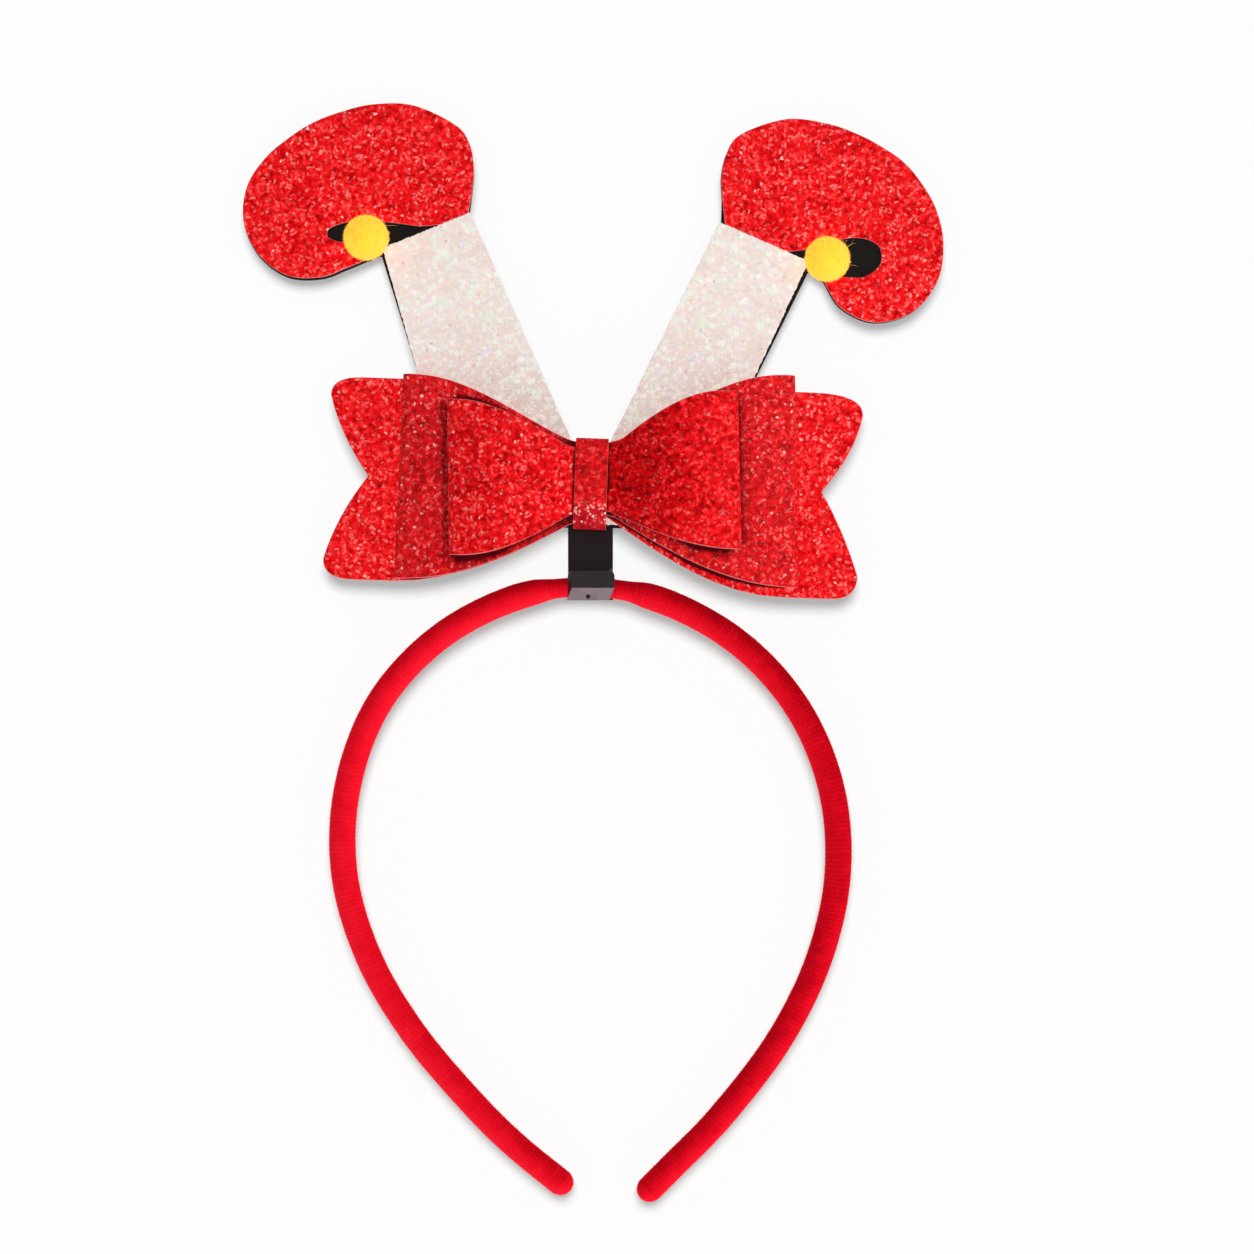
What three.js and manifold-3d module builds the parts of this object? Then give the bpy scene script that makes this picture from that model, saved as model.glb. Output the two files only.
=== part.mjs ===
// Elf legs headband, lying on its back: a velvet-covered band, and a plastic slide clip on its crown.
// The clip carries two upturned elf legs in glitter sheet on foam, with a two-loop glitter bow over them.
// Millimetres, +Z up from the table, +Y from the band's tips to the shoes, origin under the whole's middle.
import * as THREE from "three";
import { mergeVertices } from "three/addons/utils/BufferGeometryUtils.js";
import Module from "manifold-3d";

const wasm = await Module();
wasm.setup();

// Driving sizes of the band: its middle line about a centre, and its oval section.
const BAND_CENTRE = { x: -0.3, y: -46.7 };
const BAND_RADIAL = 6.4;
const BAND_DEPTH = 7.2;
const BAND_SIDES = 14;
const BAND_STEP_DEG = 4;
const BAND_TIP_ROUNDING = 3.4;
const BAND_TIP_RINGS = 4;
const BAND_TIP_BLUNT = 0.35;
// Under the clip the velvet is squeezed to this section, and the band is lifted clear of the clip's back.
const PINCH_RADIAL = 4.9;
const PINCH_DEPTH = 5.3;
const PINCH_HEIGHT = 4.4;
const PINCH_SPAN_DEG = 14;
// Turn is in degrees clockwise from the crown, and radius is to the middle of the band.
const BAND_LINE = [
  { turn: -176.4, radius: 81.0 },
  { turn: -165, radius: 72.2 },
  { turn: -155, radius: 66.6 },
  { turn: -135, radius: 60.6 },
  { turn: -115, radius: 58.8 },
  { turn: -95, radius: 59.1 },
  { turn: -75, radius: 60.0 },
  { turn: -55, radius: 61.5 },
  { turn: -35, radius: 62.2 },
  { turn: -15, radius: 62.7 },
  { turn: 0, radius: 62.4 },
  { turn: 15, radius: 61.6 },
  { turn: 35, radius: 60.3 },
  { turn: 55, radius: 59.4 },
  { turn: 75, radius: 58.7 },
  { turn: 95, radius: 58.6 },
  { turn: 115, radius: 59.7 },
  { turn: 135, radius: 63.2 },
  { turn: 155, radius: 70.7 },
  { turn: 165, radius: 76.9 },
  { turn: 172.1, radius: 83.5 },
];

// The slide clip: a flat plate under the bow, and a hook that folds over the band's front.
const CLIP_WIDTH = 10.7;
const CLIP_MIDDLE_X = -0.7;
const CLIP_WALL = 1.2;
const CLIP_PLATE = 1.4;
const CLIP_PLATE_TOP = 45.5;
const CLIP_PLATE_FOOT = 12.9;
const HOOK_TOP = 19.6;
const HOOK_FRONT = 8.6;
const HOOK_CREASE = 15.6;
const LIP_END = { y: 12.7, z: 7.0 };
const LIP_WALL = 1.0;
const CLIP_EDGE = 0.35;
const LIP_NOTCH_RADIUS = 0.55;
const LIP_NOTCH_SIDES = 10;

// The ornament is glued to the clip's plate about the middle of the bow's knot, and leans a little clockwise.
const KNOT_PLACE = { x: -0.5, y: 40.3 };
const ORNAMENT_LEAN_DEG = -2;
const GAP = 0.1;
const SHEET = 1.0;
const FOAM = 2.0;
const SHEET_SEGMENTS = 8;

// Heights of the ornament's layers, from the clip's plate up to the knot's front.
const BACKING_BASE = CLIP_PLATE + GAP;
const FACING_BASE = BACKING_BASE + FOAM + GAP;
const KNOT_BASE = FACING_BASE + SHEET + GAP;
const TAILS_BASE = KNOT_BASE + SHEET + GAP;
const LARGE_BASE = TAILS_BASE + SHEET + GAP;
const LAYER = SHEET + GAP;

// The legs spread from a crotch behind the knot, both given as a right leg. Each is cut straight at its ankle.
const LEGS_MIDDLE_X = -1.0;
const CROTCH_Y = { left: 1.9, right: -1.3 };
const ANKLE = {
  left: { inner: { x: 29.95, y: 63.3 }, outer: { x: 50.42, y: 54.17 } },
  right: { inner: { x: 29.35, y: 63.1 }, outer: { x: 50.7, y: 54.6 } },
};
const HIP = { left: { x: 38.0, y: 15.5 }, right: { x: 34.0, y: 15.5 } };
const SEAT = { x: 15.0, y: -9.5 };
const LEG_PARTING = 0.2;
const ANKLE_SEAM = 0.15;
// The foam shows as a dark rim past the sheets, where each side of it sits a little off them.
const FOAM_RIM = 0.12;
const FOAM_SHIFT = { left: { x: 0, y: -0.4 }, right: { x: -0.15, y: -0.1 } };
const FOAM_LEG_RIM = { left: { ankle: 0.85, hip: -0.2 }, right: { ankle: 1.45, hip: 0.5 } };
const FOAM_SEAT_RIM = 0.8;
const FOAM_LAP = 0.6;
const FOAM_HEEL_X = { left: 0.5, right: 0 };
const FOAM_MOUTH_X = 21;

// A shoe's outline is its reach from a hub, by bearing in degrees, in the ankle's frame.
// There x runs out along the ankle, and y away from the leg.
const SHOE_HEEL = { x: 29.95, y: 63.3 };
const SHOE_TILT_DEG = { left: -25.54, right: -24.64 };
const SHOE_HUB = { x: 26, y: 15 };
const SHOE_REACH = [
  { bearing: 200, left: 30.35, right: 30.15 },
  { bearing: 190, left: 31.55, right: 31.45 },
  { bearing: 180, left: 32.4, right: 32.3 },
  { bearing: 170, left: 31.6, right: 31.8 },
  { bearing: 150, left: 27.5, right: 27.0 },
  { bearing: 130, left: 23.3, right: 22.1 },
  { bearing: 110, left: 20.5, right: 19.1 },
  { bearing: 90, left: 19.5, right: 17.8 },
  { bearing: 70, left: 19.6, right: 18.0 },
  { bearing: 50, left: 21.2, right: 18.8 },
  { bearing: 30, left: 23.4, right: 20.8 },
  { bearing: 10, left: 24.6, right: 23.5 },
  { bearing: -10, left: 24.3, right: 26.4 },
  { bearing: -30, left: 22.7, right: 27.8 },
  { bearing: -50, left: 19.4, right: 26.4 },
  { bearing: -68, left: 16.45, right: 22.3 },
  { bearing: -83, left: 15.45, right: 17.1 },
];
// The notch between the curled toe and the ankle, from the toe's tip round to where it meets the leg.
const SHOE_NOTCH = [
  { leftX: 26.6, leftY: 1.2, rightX: 27.6, rightY: -0.6 },
  { leftX: 28.6, leftY: 4.2, rightX: 32.0, rightY: 1.3 },
  { leftX: 32.0, leftY: 6.7, rightX: 36.1, rightY: 3.5 },
  { leftX: 33.3, leftY: 8.6, rightX: 38.0, rightY: 7.9 },
  { leftX: 31.6, leftY: 10.0, rightX: 35.4, rightY: 11.6 },
  { leftX: 26.0, leftY: 9.2, rightX: 29.3, rightY: 10.4 },
  { leftX: 18.6, leftY: 5.6, rightX: 21.1, rightY: 3.35 },
  { leftX: 12.2, leftY: 1.8, rightX: 18.9, rightY: 1.75 },
];
// Where the shoe's edge along the ankle begins and ends, from the ankle's inner corner.
const ANKLE_EDGE = { left: { start: 0.45, end: 8.0 }, right: { start: 1.25, end: 17.65 } };

// Each pompom is a ball of short locks, trimmed flat where it is glued to the toe.
const POMPOM_VALLEY = 4.8;
const POMPOM_TIP = 5.5;
const POMPOM_DETAIL = 3;
const POMPOM_LIFT = 4.4;
const POMPOM_PLACE = { left: { x: 24.9, y: 3.9 }, right: { x: 26.25, y: 2.7 } };

// The bow's flat tails, with a swallow cut at each end and a slight droop.
// A lobe's corner is rounded from where round says, and the edge of its cut bulges outwards.
const TAIL_LOBES = [
  { side: 1, level: 1, pinch: 7.1, height: 23.4, round: 52, length: 63.9, shoulder: 18.3, cut: 54.7, bulge: 3.0 },
  { side: 1, level: -1, pinch: 7.8, height: 25.4, round: 57.5, length: 63.9, shoulder: 19.9, cut: 54.7, bulge: 1.4 },
  { side: -1, level: -1, pinch: 7.8, height: 24.7, round: 56, length: 62.9, shoulder: 20.0, cut: 52.9, bulge: 2.4 },
  { side: -1, level: 1, pinch: 7.1, height: 23.3, round: 55, length: 62.4, shoulder: 19.0, cut: 52.9, bulge: 2.3 },
];
const TAIL_FLARE_END = 46;
const TAIL_SPAN = 63.9;
const TAIL_DROOP = 1.4;
const TAIL_STEPS = 28;
const TAIL_CUTTER = 4;
const TAIL_FLARE_STEPS = 8;

// The loops. A fold ends at a crown above the knot's middle and a foot below it, each with its reach along x.
// The pinches are the strip's heights above and below the middle where it enters the knot.
const LOOP_ENDS = {
  large: [
    { side: -1, crown: 24.2, crownReach: 44.8, crownPinch: 9.4, foot: 24.0, footReach: 45.3, footPinch: 9.4 },
    { side: 1, crown: 27.0, crownReach: 46.9, crownPinch: 9.4, foot: 23.0, footReach: 49.4, footPinch: 6.7 },
  ],
  small: [
    { side: -1, crown: 18.2, crownReach: 33.9, crownPinch: 7.9, foot: 18.2, footReach: 32.2, footPinch: 7.1 },
    { side: 1, crown: 22.4, crownReach: 33.35, crownPinch: 7.6, foot: 14.6, footReach: 35.5, footPinch: 6.2 },
  ],
};
// How late a loop's upper edge rises to its crown, for its left and right ends.
const LOOP_CROWN_EASE = { large: { left: 1.2, right: 1.2 }, small: { left: 1.2, right: 1.0 } };
const LOOP_FOLD_RADIUS = { large: 1.9, small: 2.0 };
const LOOP_BULGE = { large: 4.2, small: 6.0 };
const LOOP_CROWN = { large: 0, small: 0.8 };
const LOOP_REST = 0.45;
const LOOP_REST_SPAN = 0.15;
const LOOP_STEPS = 12;
const FOLD_STEPS = 6;
const LOOP_COLUMNS = 5;

// The knot's strap, wound once round the bow's middle.
const KNOT_WIDTH = 7.7;
const KNOT_CROWN_Y = 10.5;
const KNOT_FOOT_Y = -10.95;
const KNOT_ROUND = 1.7;
const KNOT_FOOT_ROUND = 3.0;
const KNOT_BULGE = 0.5;

const COLOURS = {
  velvet: { color: 0xd3101f, roughness: 0.95, metalness: 0 },
  plastic: { color: 0x1c1b1c, roughness: 0.45, metalness: 0 },
  foam: { color: 0x121112, roughness: 0.85, metalness: 0 },
  redGlitter: { color: 0xd81a22, roughness: 0.4, metalness: 0.1 },
  whiteGlitter: { color: 0xebdcd8, roughness: 0.4, metalness: 0.1 },
  yellowPile: { color: 0xf7cb2c, roughness: 1, metalness: 0 },
};

const radians = THREE.MathUtils.degToRad;
const lerp = THREE.MathUtils.lerp;

// A closed three.js geometry as a manifold-3d solid, and back again.
function solidOf(geometry) {
  const bare = geometry.index ? geometry.toNonIndexed() : geometry.clone();
  bare.deleteAttribute("normal");
  bare.deleteAttribute("uv");
  const merged = mergeVertices(bare, 1e-4);
  return new wasm.Manifold(
    new wasm.Mesh({
      numProp: 3,
      vertProperties: merged.attributes.position.array,
      triVerts: new Uint32Array(merged.index.array),
    }),
  );
}

function geometryOf(solid) {
  const mesh = solid.getMesh();
  const geometry = new THREE.BufferGeometry();
  geometry.setAttribute("position", new THREE.BufferAttribute(mesh.vertProperties, 3));
  geometry.setIndex(new THREE.BufferAttribute(mesh.triVerts, 1));
  geometry.computeVertexNormals();
  return geometry;
}

// A skin over rings of equal count. A closed run joins its last ring to its first, and an open one is capped.
function skin(rings, closed) {
  const sides = rings[0].length;
  const points = rings.flat();
  const index = [];
  const spans = closed ? rings.length : rings.length - 1;
  for (let ring = 0; ring < spans; ring++) {
    const next = (ring + 1) % rings.length;
    for (let side = 0; side < sides; side++) {
      const across = (side + 1) % sides;
      const a = ring * sides + side;
      const b = ring * sides + across;
      const c = next * sides + side;
      const d = next * sides + across;
      index.push(a, c, b, b, c, d);
    }
  }
  if (!closed) {
    const last = (rings.length - 1) * sides;
    for (let side = 1; side < sides - 1; side++) {
      index.push(0, side, side + 1);
      index.push(last, last + side + 1, last + side);
    }
  }
  const geometry = new THREE.BufferGeometry().setFromPoints(points);
  geometry.setIndex(index);
  geometry.computeVertexNormals();
  return geometry;
}

// A flat sheet cut to a shape, with its underside at a height.
function cutSheet(shape, thickness, base) {
  const geometry = new THREE.ExtrudeGeometry(shape, {
    depth: thickness,
    bevelEnabled: false,
    curveSegments: SHEET_SEGMENTS,
  });
  return geometry.translate(0, 0, base);
}

// The band's middle line: a smooth curve through the table's rows, level at the tips and lifted at the crown.
function bandLine() {
  const tipHeight = BAND_DEPTH / 2;
  const lowest = Math.max(...BAND_LINE.map((row) => row.radius));
  const points = BAND_LINE.map(({ turn, radius }) => {
    const across = Math.sin(radians(turn)) * radius;
    const up = Math.cos(radians(turn)) * radius;
    const lift = (up + lowest) / (2 * lowest);
    const height = lerp(tipHeight, PINCH_HEIGHT, THREE.MathUtils.clamp(lift, 0, 1));
    return new THREE.Vector3(BAND_CENTRE.x + across, BAND_CENTRE.y + up, height);
  });
  return new THREE.CatmullRomCurve3(points, false, "centripetal");
}

// How far the section is squeezed by the clip, from 1 under it to 0 beyond it.
function squeeze(point) {
  const turn = Math.abs(Math.atan2(point.x - CLIP_MIDDLE_X, point.y - BAND_CENTRE.y));
  const span = radians(PINCH_SPAN_DEG);
  return 1 - THREE.MathUtils.smoothstep(turn, span / 2, span);
}

// The velvet-covered band: an oval swept along its line, with rounded tips.
function headbandGeometry() {
  const line = bandLine();
  const length = line.getLength();
  const meanRadius = length / radians(BAND_LINE.at(-1).turn - BAND_LINE[0].turn);
  const steps = Math.round(length / (meanRadius * radians(BAND_STEP_DEG)));
  const stations = [];
  for (let ring = 0; ring < BAND_TIP_RINGS; ring++) {
    const quarterTurn = (((ring + BAND_TIP_BLUNT) / BAND_TIP_RINGS) * Math.PI) / 2;
    stations.push(BAND_TIP_ROUNDING * (1 - Math.cos(quarterTurn)));
  }
  for (let step = 0; step <= steps; step++) {
    stations.push(lerp(BAND_TIP_ROUNDING, length - BAND_TIP_ROUNDING, step / steps));
  }
  for (let ring = BAND_TIP_RINGS - 1; ring >= 0; ring--) stations.push(length - stations[ring]);
  const up = new THREE.Vector3(0, 0, 1);
  const rings = stations.map((along) => {
    const share = along / length;
    const middle = line.getPointAt(share);
    const outwards = line.getTangentAt(share).cross(up).normalize();
    const fromTip = Math.min(along, length - along);
    const inset = Math.max(0, 1 - fromTip / BAND_TIP_ROUNDING);
    const tip = Math.sqrt(1 - inset * inset);
    const pinch = squeeze(middle);
    const halfRadial = (tip * lerp(BAND_RADIAL, PINCH_RADIAL, pinch)) / 2;
    const halfDepth = (tip * lerp(BAND_DEPTH, PINCH_DEPTH, pinch)) / 2;
    const ring = [];
    for (let side = 0; side < BAND_SIDES; side++) {
      const angle = (2 * Math.PI * side) / BAND_SIDES;
      ring.push(
        middle
          .clone()
          .addScaledVector(outwards, halfRadial * Math.cos(angle))
          .addScaledVector(up, halfDepth * Math.sin(angle)),
      );
    }
    return ring;
  });
  return skin(rings, false);
}

// Turns an extrusion so that its profile's x and y become y and z, and its depth runs along x from a start.
function standOnSide(geometry, startX) {
  const turn = new THREE.Matrix4().makeBasis(
    new THREE.Vector3(0, 1, 0),
    new THREE.Vector3(0, 0, 1),
    new THREE.Vector3(1, 0, 0),
  );
  return geometry.applyMatrix4(turn).translate(startX, 0, 0);
}

// The clip's side profile, in y and z: plate, top wall, front and slanted lip, then back inside the hook.
function slideClipGeometry() {
  const lip = new THREE.Vector2(LIP_END.y - HOOK_CREASE, LIP_END.z - HOOK_FRONT).normalize();
  const inward = new THREE.Vector2(-lip.y, lip.x).multiplyScalar(LIP_WALL);
  const innerFront = HOOK_FRONT - CLIP_WALL;
  const innerTop = HOOK_TOP - CLIP_WALL;
  const lipRun = (HOOK_FRONT + inward.y - innerFront) / -lip.y;
  const profile = new THREE.Shape();
  profile.moveTo(CLIP_PLATE_FOOT, 0);
  profile.lineTo(CLIP_PLATE_TOP, 0);
  profile.lineTo(CLIP_PLATE_TOP, CLIP_PLATE);
  profile.lineTo(HOOK_TOP, CLIP_PLATE);
  profile.lineTo(HOOK_TOP, HOOK_FRONT - CLIP_WALL);
  profile.quadraticCurveTo(HOOK_TOP, HOOK_FRONT, innerTop, HOOK_FRONT);
  profile.lineTo(HOOK_CREASE, HOOK_FRONT);
  profile.lineTo(LIP_END.y, LIP_END.z);
  profile.lineTo(LIP_END.y + inward.x, LIP_END.z + inward.y);
  profile.lineTo(HOOK_CREASE + inward.x + lip.x * lipRun, innerFront);
  profile.lineTo(innerTop, innerFront);
  profile.lineTo(innerTop, CLIP_PLATE);
  profile.lineTo(CLIP_PLATE_FOOT, CLIP_PLATE);
  const bar = new THREE.ExtrudeGeometry(profile, {
    depth: CLIP_WIDTH - 2 * CLIP_EDGE,
    bevelThickness: CLIP_EDGE,
    bevelSize: CLIP_EDGE,
    bevelOffset: -CLIP_EDGE,
    bevelSegments: 1,
    curveSegments: SHEET_SEGMENTS,
  });
  standOnSide(bar, CLIP_MIDDLE_X + CLIP_EDGE - CLIP_WIDTH / 2);
  const notchDepth = 4 * LIP_WALL;
  const notch = new THREE.CylinderGeometry(LIP_NOTCH_RADIUS, LIP_NOTCH_RADIUS, notchDepth, LIP_NOTCH_SIDES);
  notch.rotateX(Math.PI / 2).translate(CLIP_MIDDLE_X, LIP_END.y + LIP_NOTCH_RADIUS / 2, LIP_END.z);
  return geometryOf(solidOf(bar).subtract(solidOf(notch)));
}

function sideName(side) {
  return side < 0 ? "left" : "right";
}

// A point of one leg: the right one as given, and the left one mirrored about the legs' middle.
function legPoint(side, { x, y }) {
  return new THREE.Vector2(LEGS_MIDDLE_X + side * x, y);
}

// From the ankle's frame to the ornament's: x runs out along the ankle, and y up the shoe.
function anklePoint(side, { x, y }) {
  const tilt = radians(SHOE_TILT_DEG[sideName(side)]);
  return legPoint(side, {
    x: SHOE_HEEL.x + Math.cos(tilt) * x - Math.sin(tilt) * y,
    y: SHOE_HEEL.y + Math.sin(tilt) * x + Math.cos(tilt) * y,
  });
}

// A point of the shoe's edge along the ankle, at a distance from the ankle's inner corner.
function ankleEdge(side, distance) {
  const { inner, outer } = ANKLE[sideName(side)];
  const along = new THREE.Vector2(outer.x - inner.x, outer.y - inner.y).normalize();
  return legPoint(side, {
    x: inner.x + along.x * distance - along.y * ANKLE_SEAM,
    y: inner.y + along.y * distance + along.x * ANKLE_SEAM,
  });
}

// A leg in white sheet, cut straight at the ankle and parted from the other leg below the crotch.
function legGeometry(side) {
  const part = LEG_PARTING / 2;
  const column = sideName(side);
  const { inner, outer } = ANKLE[column];
  const corners = [{ x: part, y: CROTCH_Y[column] }, inner, outer, HIP[column], SEAT, { x: part, y: SEAT.y }];
  return cutSheet(new THREE.Shape(corners.map((corner) => legPoint(side, corner))), SHEET, FACING_BASE);
}

// The sole, heel and toe of a shoe from its ankle round to the tip, in the ornament's frame.
function solePoints(side, rim) {
  const column = sideName(side);
  return SHOE_REACH.map((row) => {
    const bearing = radians(row.bearing);
    const reach = row[column] + rim;
    return anklePoint(side, {
      x: SHOE_HUB.x + reach * Math.cos(bearing),
      y: SHOE_HUB.y + reach * Math.sin(bearing),
    });
  });
}

// A shoe in red sheet, with its toe curled back towards the ankle.
function shoeGeometry(side) {
  const column = sideName(side);
  const heel = ankleEdge(side, ANKLE_EDGE[column].start);
  const shape = new THREE.Shape();
  shape.moveTo(heel.x, heel.y);
  shape.splineThru(solePoints(side, 0));
  shape.splineThru(SHOE_NOTCH.map((row) => anklePoint(side, { x: row[column + "X"], y: row[column + "Y"] })));
  const end = ankleEdge(side, ANKLE_EDGE[column].end);
  shape.lineTo(end.x, end.y);
  return cutSheet(shape, SHEET, FACING_BASE);
}

// One black foam backing behind both legs and both shoes. It fills the shoes' notches.
function backingGeometry() {
  let backing = null;
  for (const side of [-1, 1]) {
    const column = sideName(side);
    const { inner, outer } = ANKLE[column];
    const hip = HIP[column];
    const rim = FOAM_LEG_RIM[column];
    const shift = FOAM_SHIFT[column];
    const drop = (point) => new THREE.Vector2(point.x + shift.x, point.y + shift.y);
    const leg = [
      { x: -FOAM_LAP, y: CROTCH_Y[column] },
      { x: 0, y: CROTCH_Y[column] },
      inner,
      { x: outer.x + rim.ankle, y: outer.y },
      { x: hip.x + rim.hip, y: hip.y },
      { x: SEAT.x + rim.hip, y: SEAT.y - FOAM_SEAT_RIM },
      { x: -FOAM_LAP, y: SEAT.y - FOAM_SEAT_RIM },
    ].map((corner) => drop(legPoint(side, corner)));
    const heel = drop(anklePoint(side, { x: FOAM_HEEL_X[column], y: -FOAM_LAP }));
    const mouth = drop(anklePoint(side, { x: FOAM_MOUTH_X, y: -FOAM_LAP }));
    const shoe = new THREE.Shape();
    shoe.moveTo(heel.x, heel.y);
    shoe.splineThru(solePoints(side, FOAM_RIM).map(drop));
    shoe.lineTo(mouth.x, mouth.y);
    for (const shape of [new THREE.Shape(leg), shoe]) {
      const piece = solidOf(cutSheet(shape, FOAM, BACKING_BASE));
      backing = backing ? backing.add(piece) : piece;
    }
  }
  return geometryOf(backing);
}

// A pompom: every facet of a ball carries one short lock, and the underside is trimmed flat.
function pompomGeometry(side) {
  const ball = new THREE.IcosahedronGeometry(POMPOM_VALLEY, POMPOM_DETAIL);
  const corner = ball.attributes.position;
  const locks = [];
  for (let face = 0; face < corner.count; face += 3) {
    const [a, b, c] = [0, 1, 2].map((k) => new THREE.Vector3().fromBufferAttribute(corner, face + k));
    const tip = new THREE.Vector3().add(a).add(b).add(c).setLength(POMPOM_TIP);
    locks.push(a, b, tip, b, c, tip, c, a, tip);
  }
  const place = anklePoint(side, POMPOM_PLACE[sideName(side)]);
  const floor = FACING_BASE + SHEET + GAP;
  const tufted = new THREE.BufferGeometry().setFromPoints(locks);
  tufted.translate(place.x, place.y, floor + POMPOM_LIFT);
  const size = 4 * POMPOM_TIP;
  const trim = new THREE.BoxGeometry(size, size, size).translate(place.x, place.y, floor - size / 2);
  return geometryOf(solidOf(tufted).subtract(solidOf(trim)));
}

// How a bow piece widens from the knot (0) to its full height (1).
function flare(share) {
  return Math.sin((share * Math.PI) / 2);
}

// One lobe's outline, from the knot's middle out to the apex of the swallow cut.
function tailLobe({ side, level, pinch, height, round, length, shoulder, cut, bulge }) {
  const path = new THREE.Path();
  path.moveTo(0, pinch);
  for (let step = 0; step <= TAIL_FLARE_STEPS; step++) {
    const share = step / TAIL_FLARE_STEPS;
    const x = lerp(KNOT_WIDTH / 2, TAIL_FLARE_END, share);
    path.lineTo(x, lerp(pinch, height, flare(share)));
  }
  path.lineTo(round, height);
  path.quadraticCurveTo(length, height, length, shoulder);
  path.quadraticCurveTo((length + cut) / 2 + bulge, shoulder / 2, cut, 0);
  return path.getPoints(SHEET_SEGMENTS).map(({ x, y }) => new THREE.Vector2(side * x, level * y));
}

// The tails' whole outline. Every second lobe is run backwards, from its cut to the knot.
function tailsShape() {
  const lobes = TAIL_LOBES.map(tailLobe);
  const runs = lobes.map((lobe, i) => (i % 2 ? lobe.toReversed() : lobe));
  return new THREE.Shape(runs.flatMap((run) => run.slice(1)));
}

// The tails: a slab that droops towards its ends, cut to the tails' outline.
function bowTailsGeometry() {
  const end = TAIL_SPAN + SHEET;
  const half = Math.max(...TAIL_LOBES.map((lobe) => lobe.height)) + SHEET;
  const rings = [];
  for (let step = 0; step <= TAIL_STEPS; step++) {
    const x = lerp(-end, end, step / TAIL_STEPS);
    const low = TAILS_BASE - TAIL_DROOP * (x / TAIL_SPAN) ** 2;
    const high = low + SHEET;
    const section = [[-half, low], [-half, high], [half, high], [half, low]];
    rings.push(section.map(([y, z]) => new THREE.Vector3(x, y, z)));
  }
  const outline = cutSheet(tailsShape(), 2 * TAIL_CUTTER, TAILS_BASE - TAIL_CUTTER);
  return geometryOf(solidOf(skin(rings, false)).intersect(solidOf(outline)));
}

// Reach of a loop's fold along x at the middle of its height.
function foldReach(end) {
  return (end.crownReach + end.footReach) / 2;
}

// Height of a loop's upper layer at a share of the way from the knot to the fold.
function upperHeight(loop, share, foldHeight) {
  const start = LARGE_BASE + SHEET / 2 + (loop === "large" ? LAYER : 3 * LAYER);
  return lerp(start, foldHeight, share) + LOOP_BULGE[loop] * Math.sin(Math.PI * share);
}

// Height of a loop's lower layer: the large one lies flat on the tails, and the small one over the large.
function lowerHeight(loop, end, x) {
  const flat = LARGE_BASE + SHEET / 2;
  if (loop === "large") return flat;
  const under = LOOP_ENDS.large.find((row) => row.side === end.side);
  const radius = LOOP_FOLD_RADIUS.large;
  const start = KNOT_WIDTH / 2;
  const share = THREE.MathUtils.clamp((x - start) / (foldReach(under) - radius - start), 0, 1);
  const rest = LOOP_REST * THREE.MathUtils.smoothstep(share, 0, LOOP_REST_SPAN);
  return upperHeight("large", share, flat + 2 * radius) + LAYER + rest;
}

// The closed path of a loop: out over each upper layer, round the fold and back along the lower one.
function loopPath(loop) {
  const radius = LOOP_FOLD_RADIUS[loop];
  const start = KNOT_WIDTH / 2;
  const halves = LOOP_ENDS[loop].map((end) => {
    const straight = foldReach(end) - radius - start;
    const foldFloor = lowerHeight(loop, end, start + straight);
    const half = [];
    for (let step = 0; step <= LOOP_STEPS; step++) {
      const share = step / LOOP_STEPS;
      const z = upperHeight(loop, share, foldFloor + 2 * radius);
      half.push({ end, share, bend: 0, z, crown: Math.sin(Math.PI * share) });
    }
    for (let step = 1; step < FOLD_STEPS; step++) {
      const angle = Math.PI / 2 - (Math.PI * step) / FOLD_STEPS;
      const z = foldFloor + radius + radius * Math.sin(angle);
      half.push({ end, share: 1, bend: radius * Math.cos(angle), z, crown: 0 });
    }
    for (let step = LOOP_STEPS; step >= 0; step--) {
      const share = step / LOOP_STEPS;
      half.push({ end, share, bend: 0, z: lowerHeight(loop, end, start + straight * share), crown: 0 });
    }
    return half;
  });
  return [...halves[1], ...halves[0].toReversed()];
}

// A station's place along x for a given reach of the fold.
function stationX(loop, station, reach) {
  const start = KNOT_WIDTH / 2;
  const straight = reach - LOOP_FOLD_RADIUS[loop] - start;
  return station.end.side * (start + straight * station.share + station.bend);
}

// A bow loop: one strip that closes on itself, narrow at the knot and full height at its two folds.
function bowLoopGeometry(loop) {
  const path = loopPath(loop);
  const middle = path.map((station) => {
    const x = stationX(loop, station, foldReach(station.end));
    return new THREE.Vector2(x, station.z);
  });
  const rings = path.map((station, i) => {
    const before = middle.at(i - 1);
    const after = middle[(i + 1) % middle.length];
    const run = after.clone().sub(before).normalize();
    const outwards = new THREE.Vector2(-run.y, run.x);
    const ease = LOOP_CROWN_EASE[loop][sideName(station.end.side)];
    const crown = lerp(station.end.crownPinch, station.end.crown, flare(station.share ** ease));
    const foot = -lerp(station.end.footPinch, station.end.foot, flare(station.share));
    const crownX = stationX(loop, station, station.end.crownReach);
    const footX = stationX(loop, station, station.end.footReach);
    const layer = (sign) => {
      const row = [];
      for (let column = 0; column < LOOP_COLUMNS; column++) {
        const across = column / (LOOP_COLUMNS - 1);
        const swell = LOOP_CROWN[loop] * station.crown * (1 - (2 * across - 1) ** 2);
        const offset = sign * (SHEET / 2) + swell;
        row.push(
          new THREE.Vector3(
            lerp(footX, crownX, across) + outwards.x * offset,
            lerp(foot, crown, across),
            station.z + outwards.y * offset,
          ),
        );
      }
      return row;
    };
    return [...layer(1), ...layer(-1).reverse()];
  });
  return skin(rings, true);
}

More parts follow.
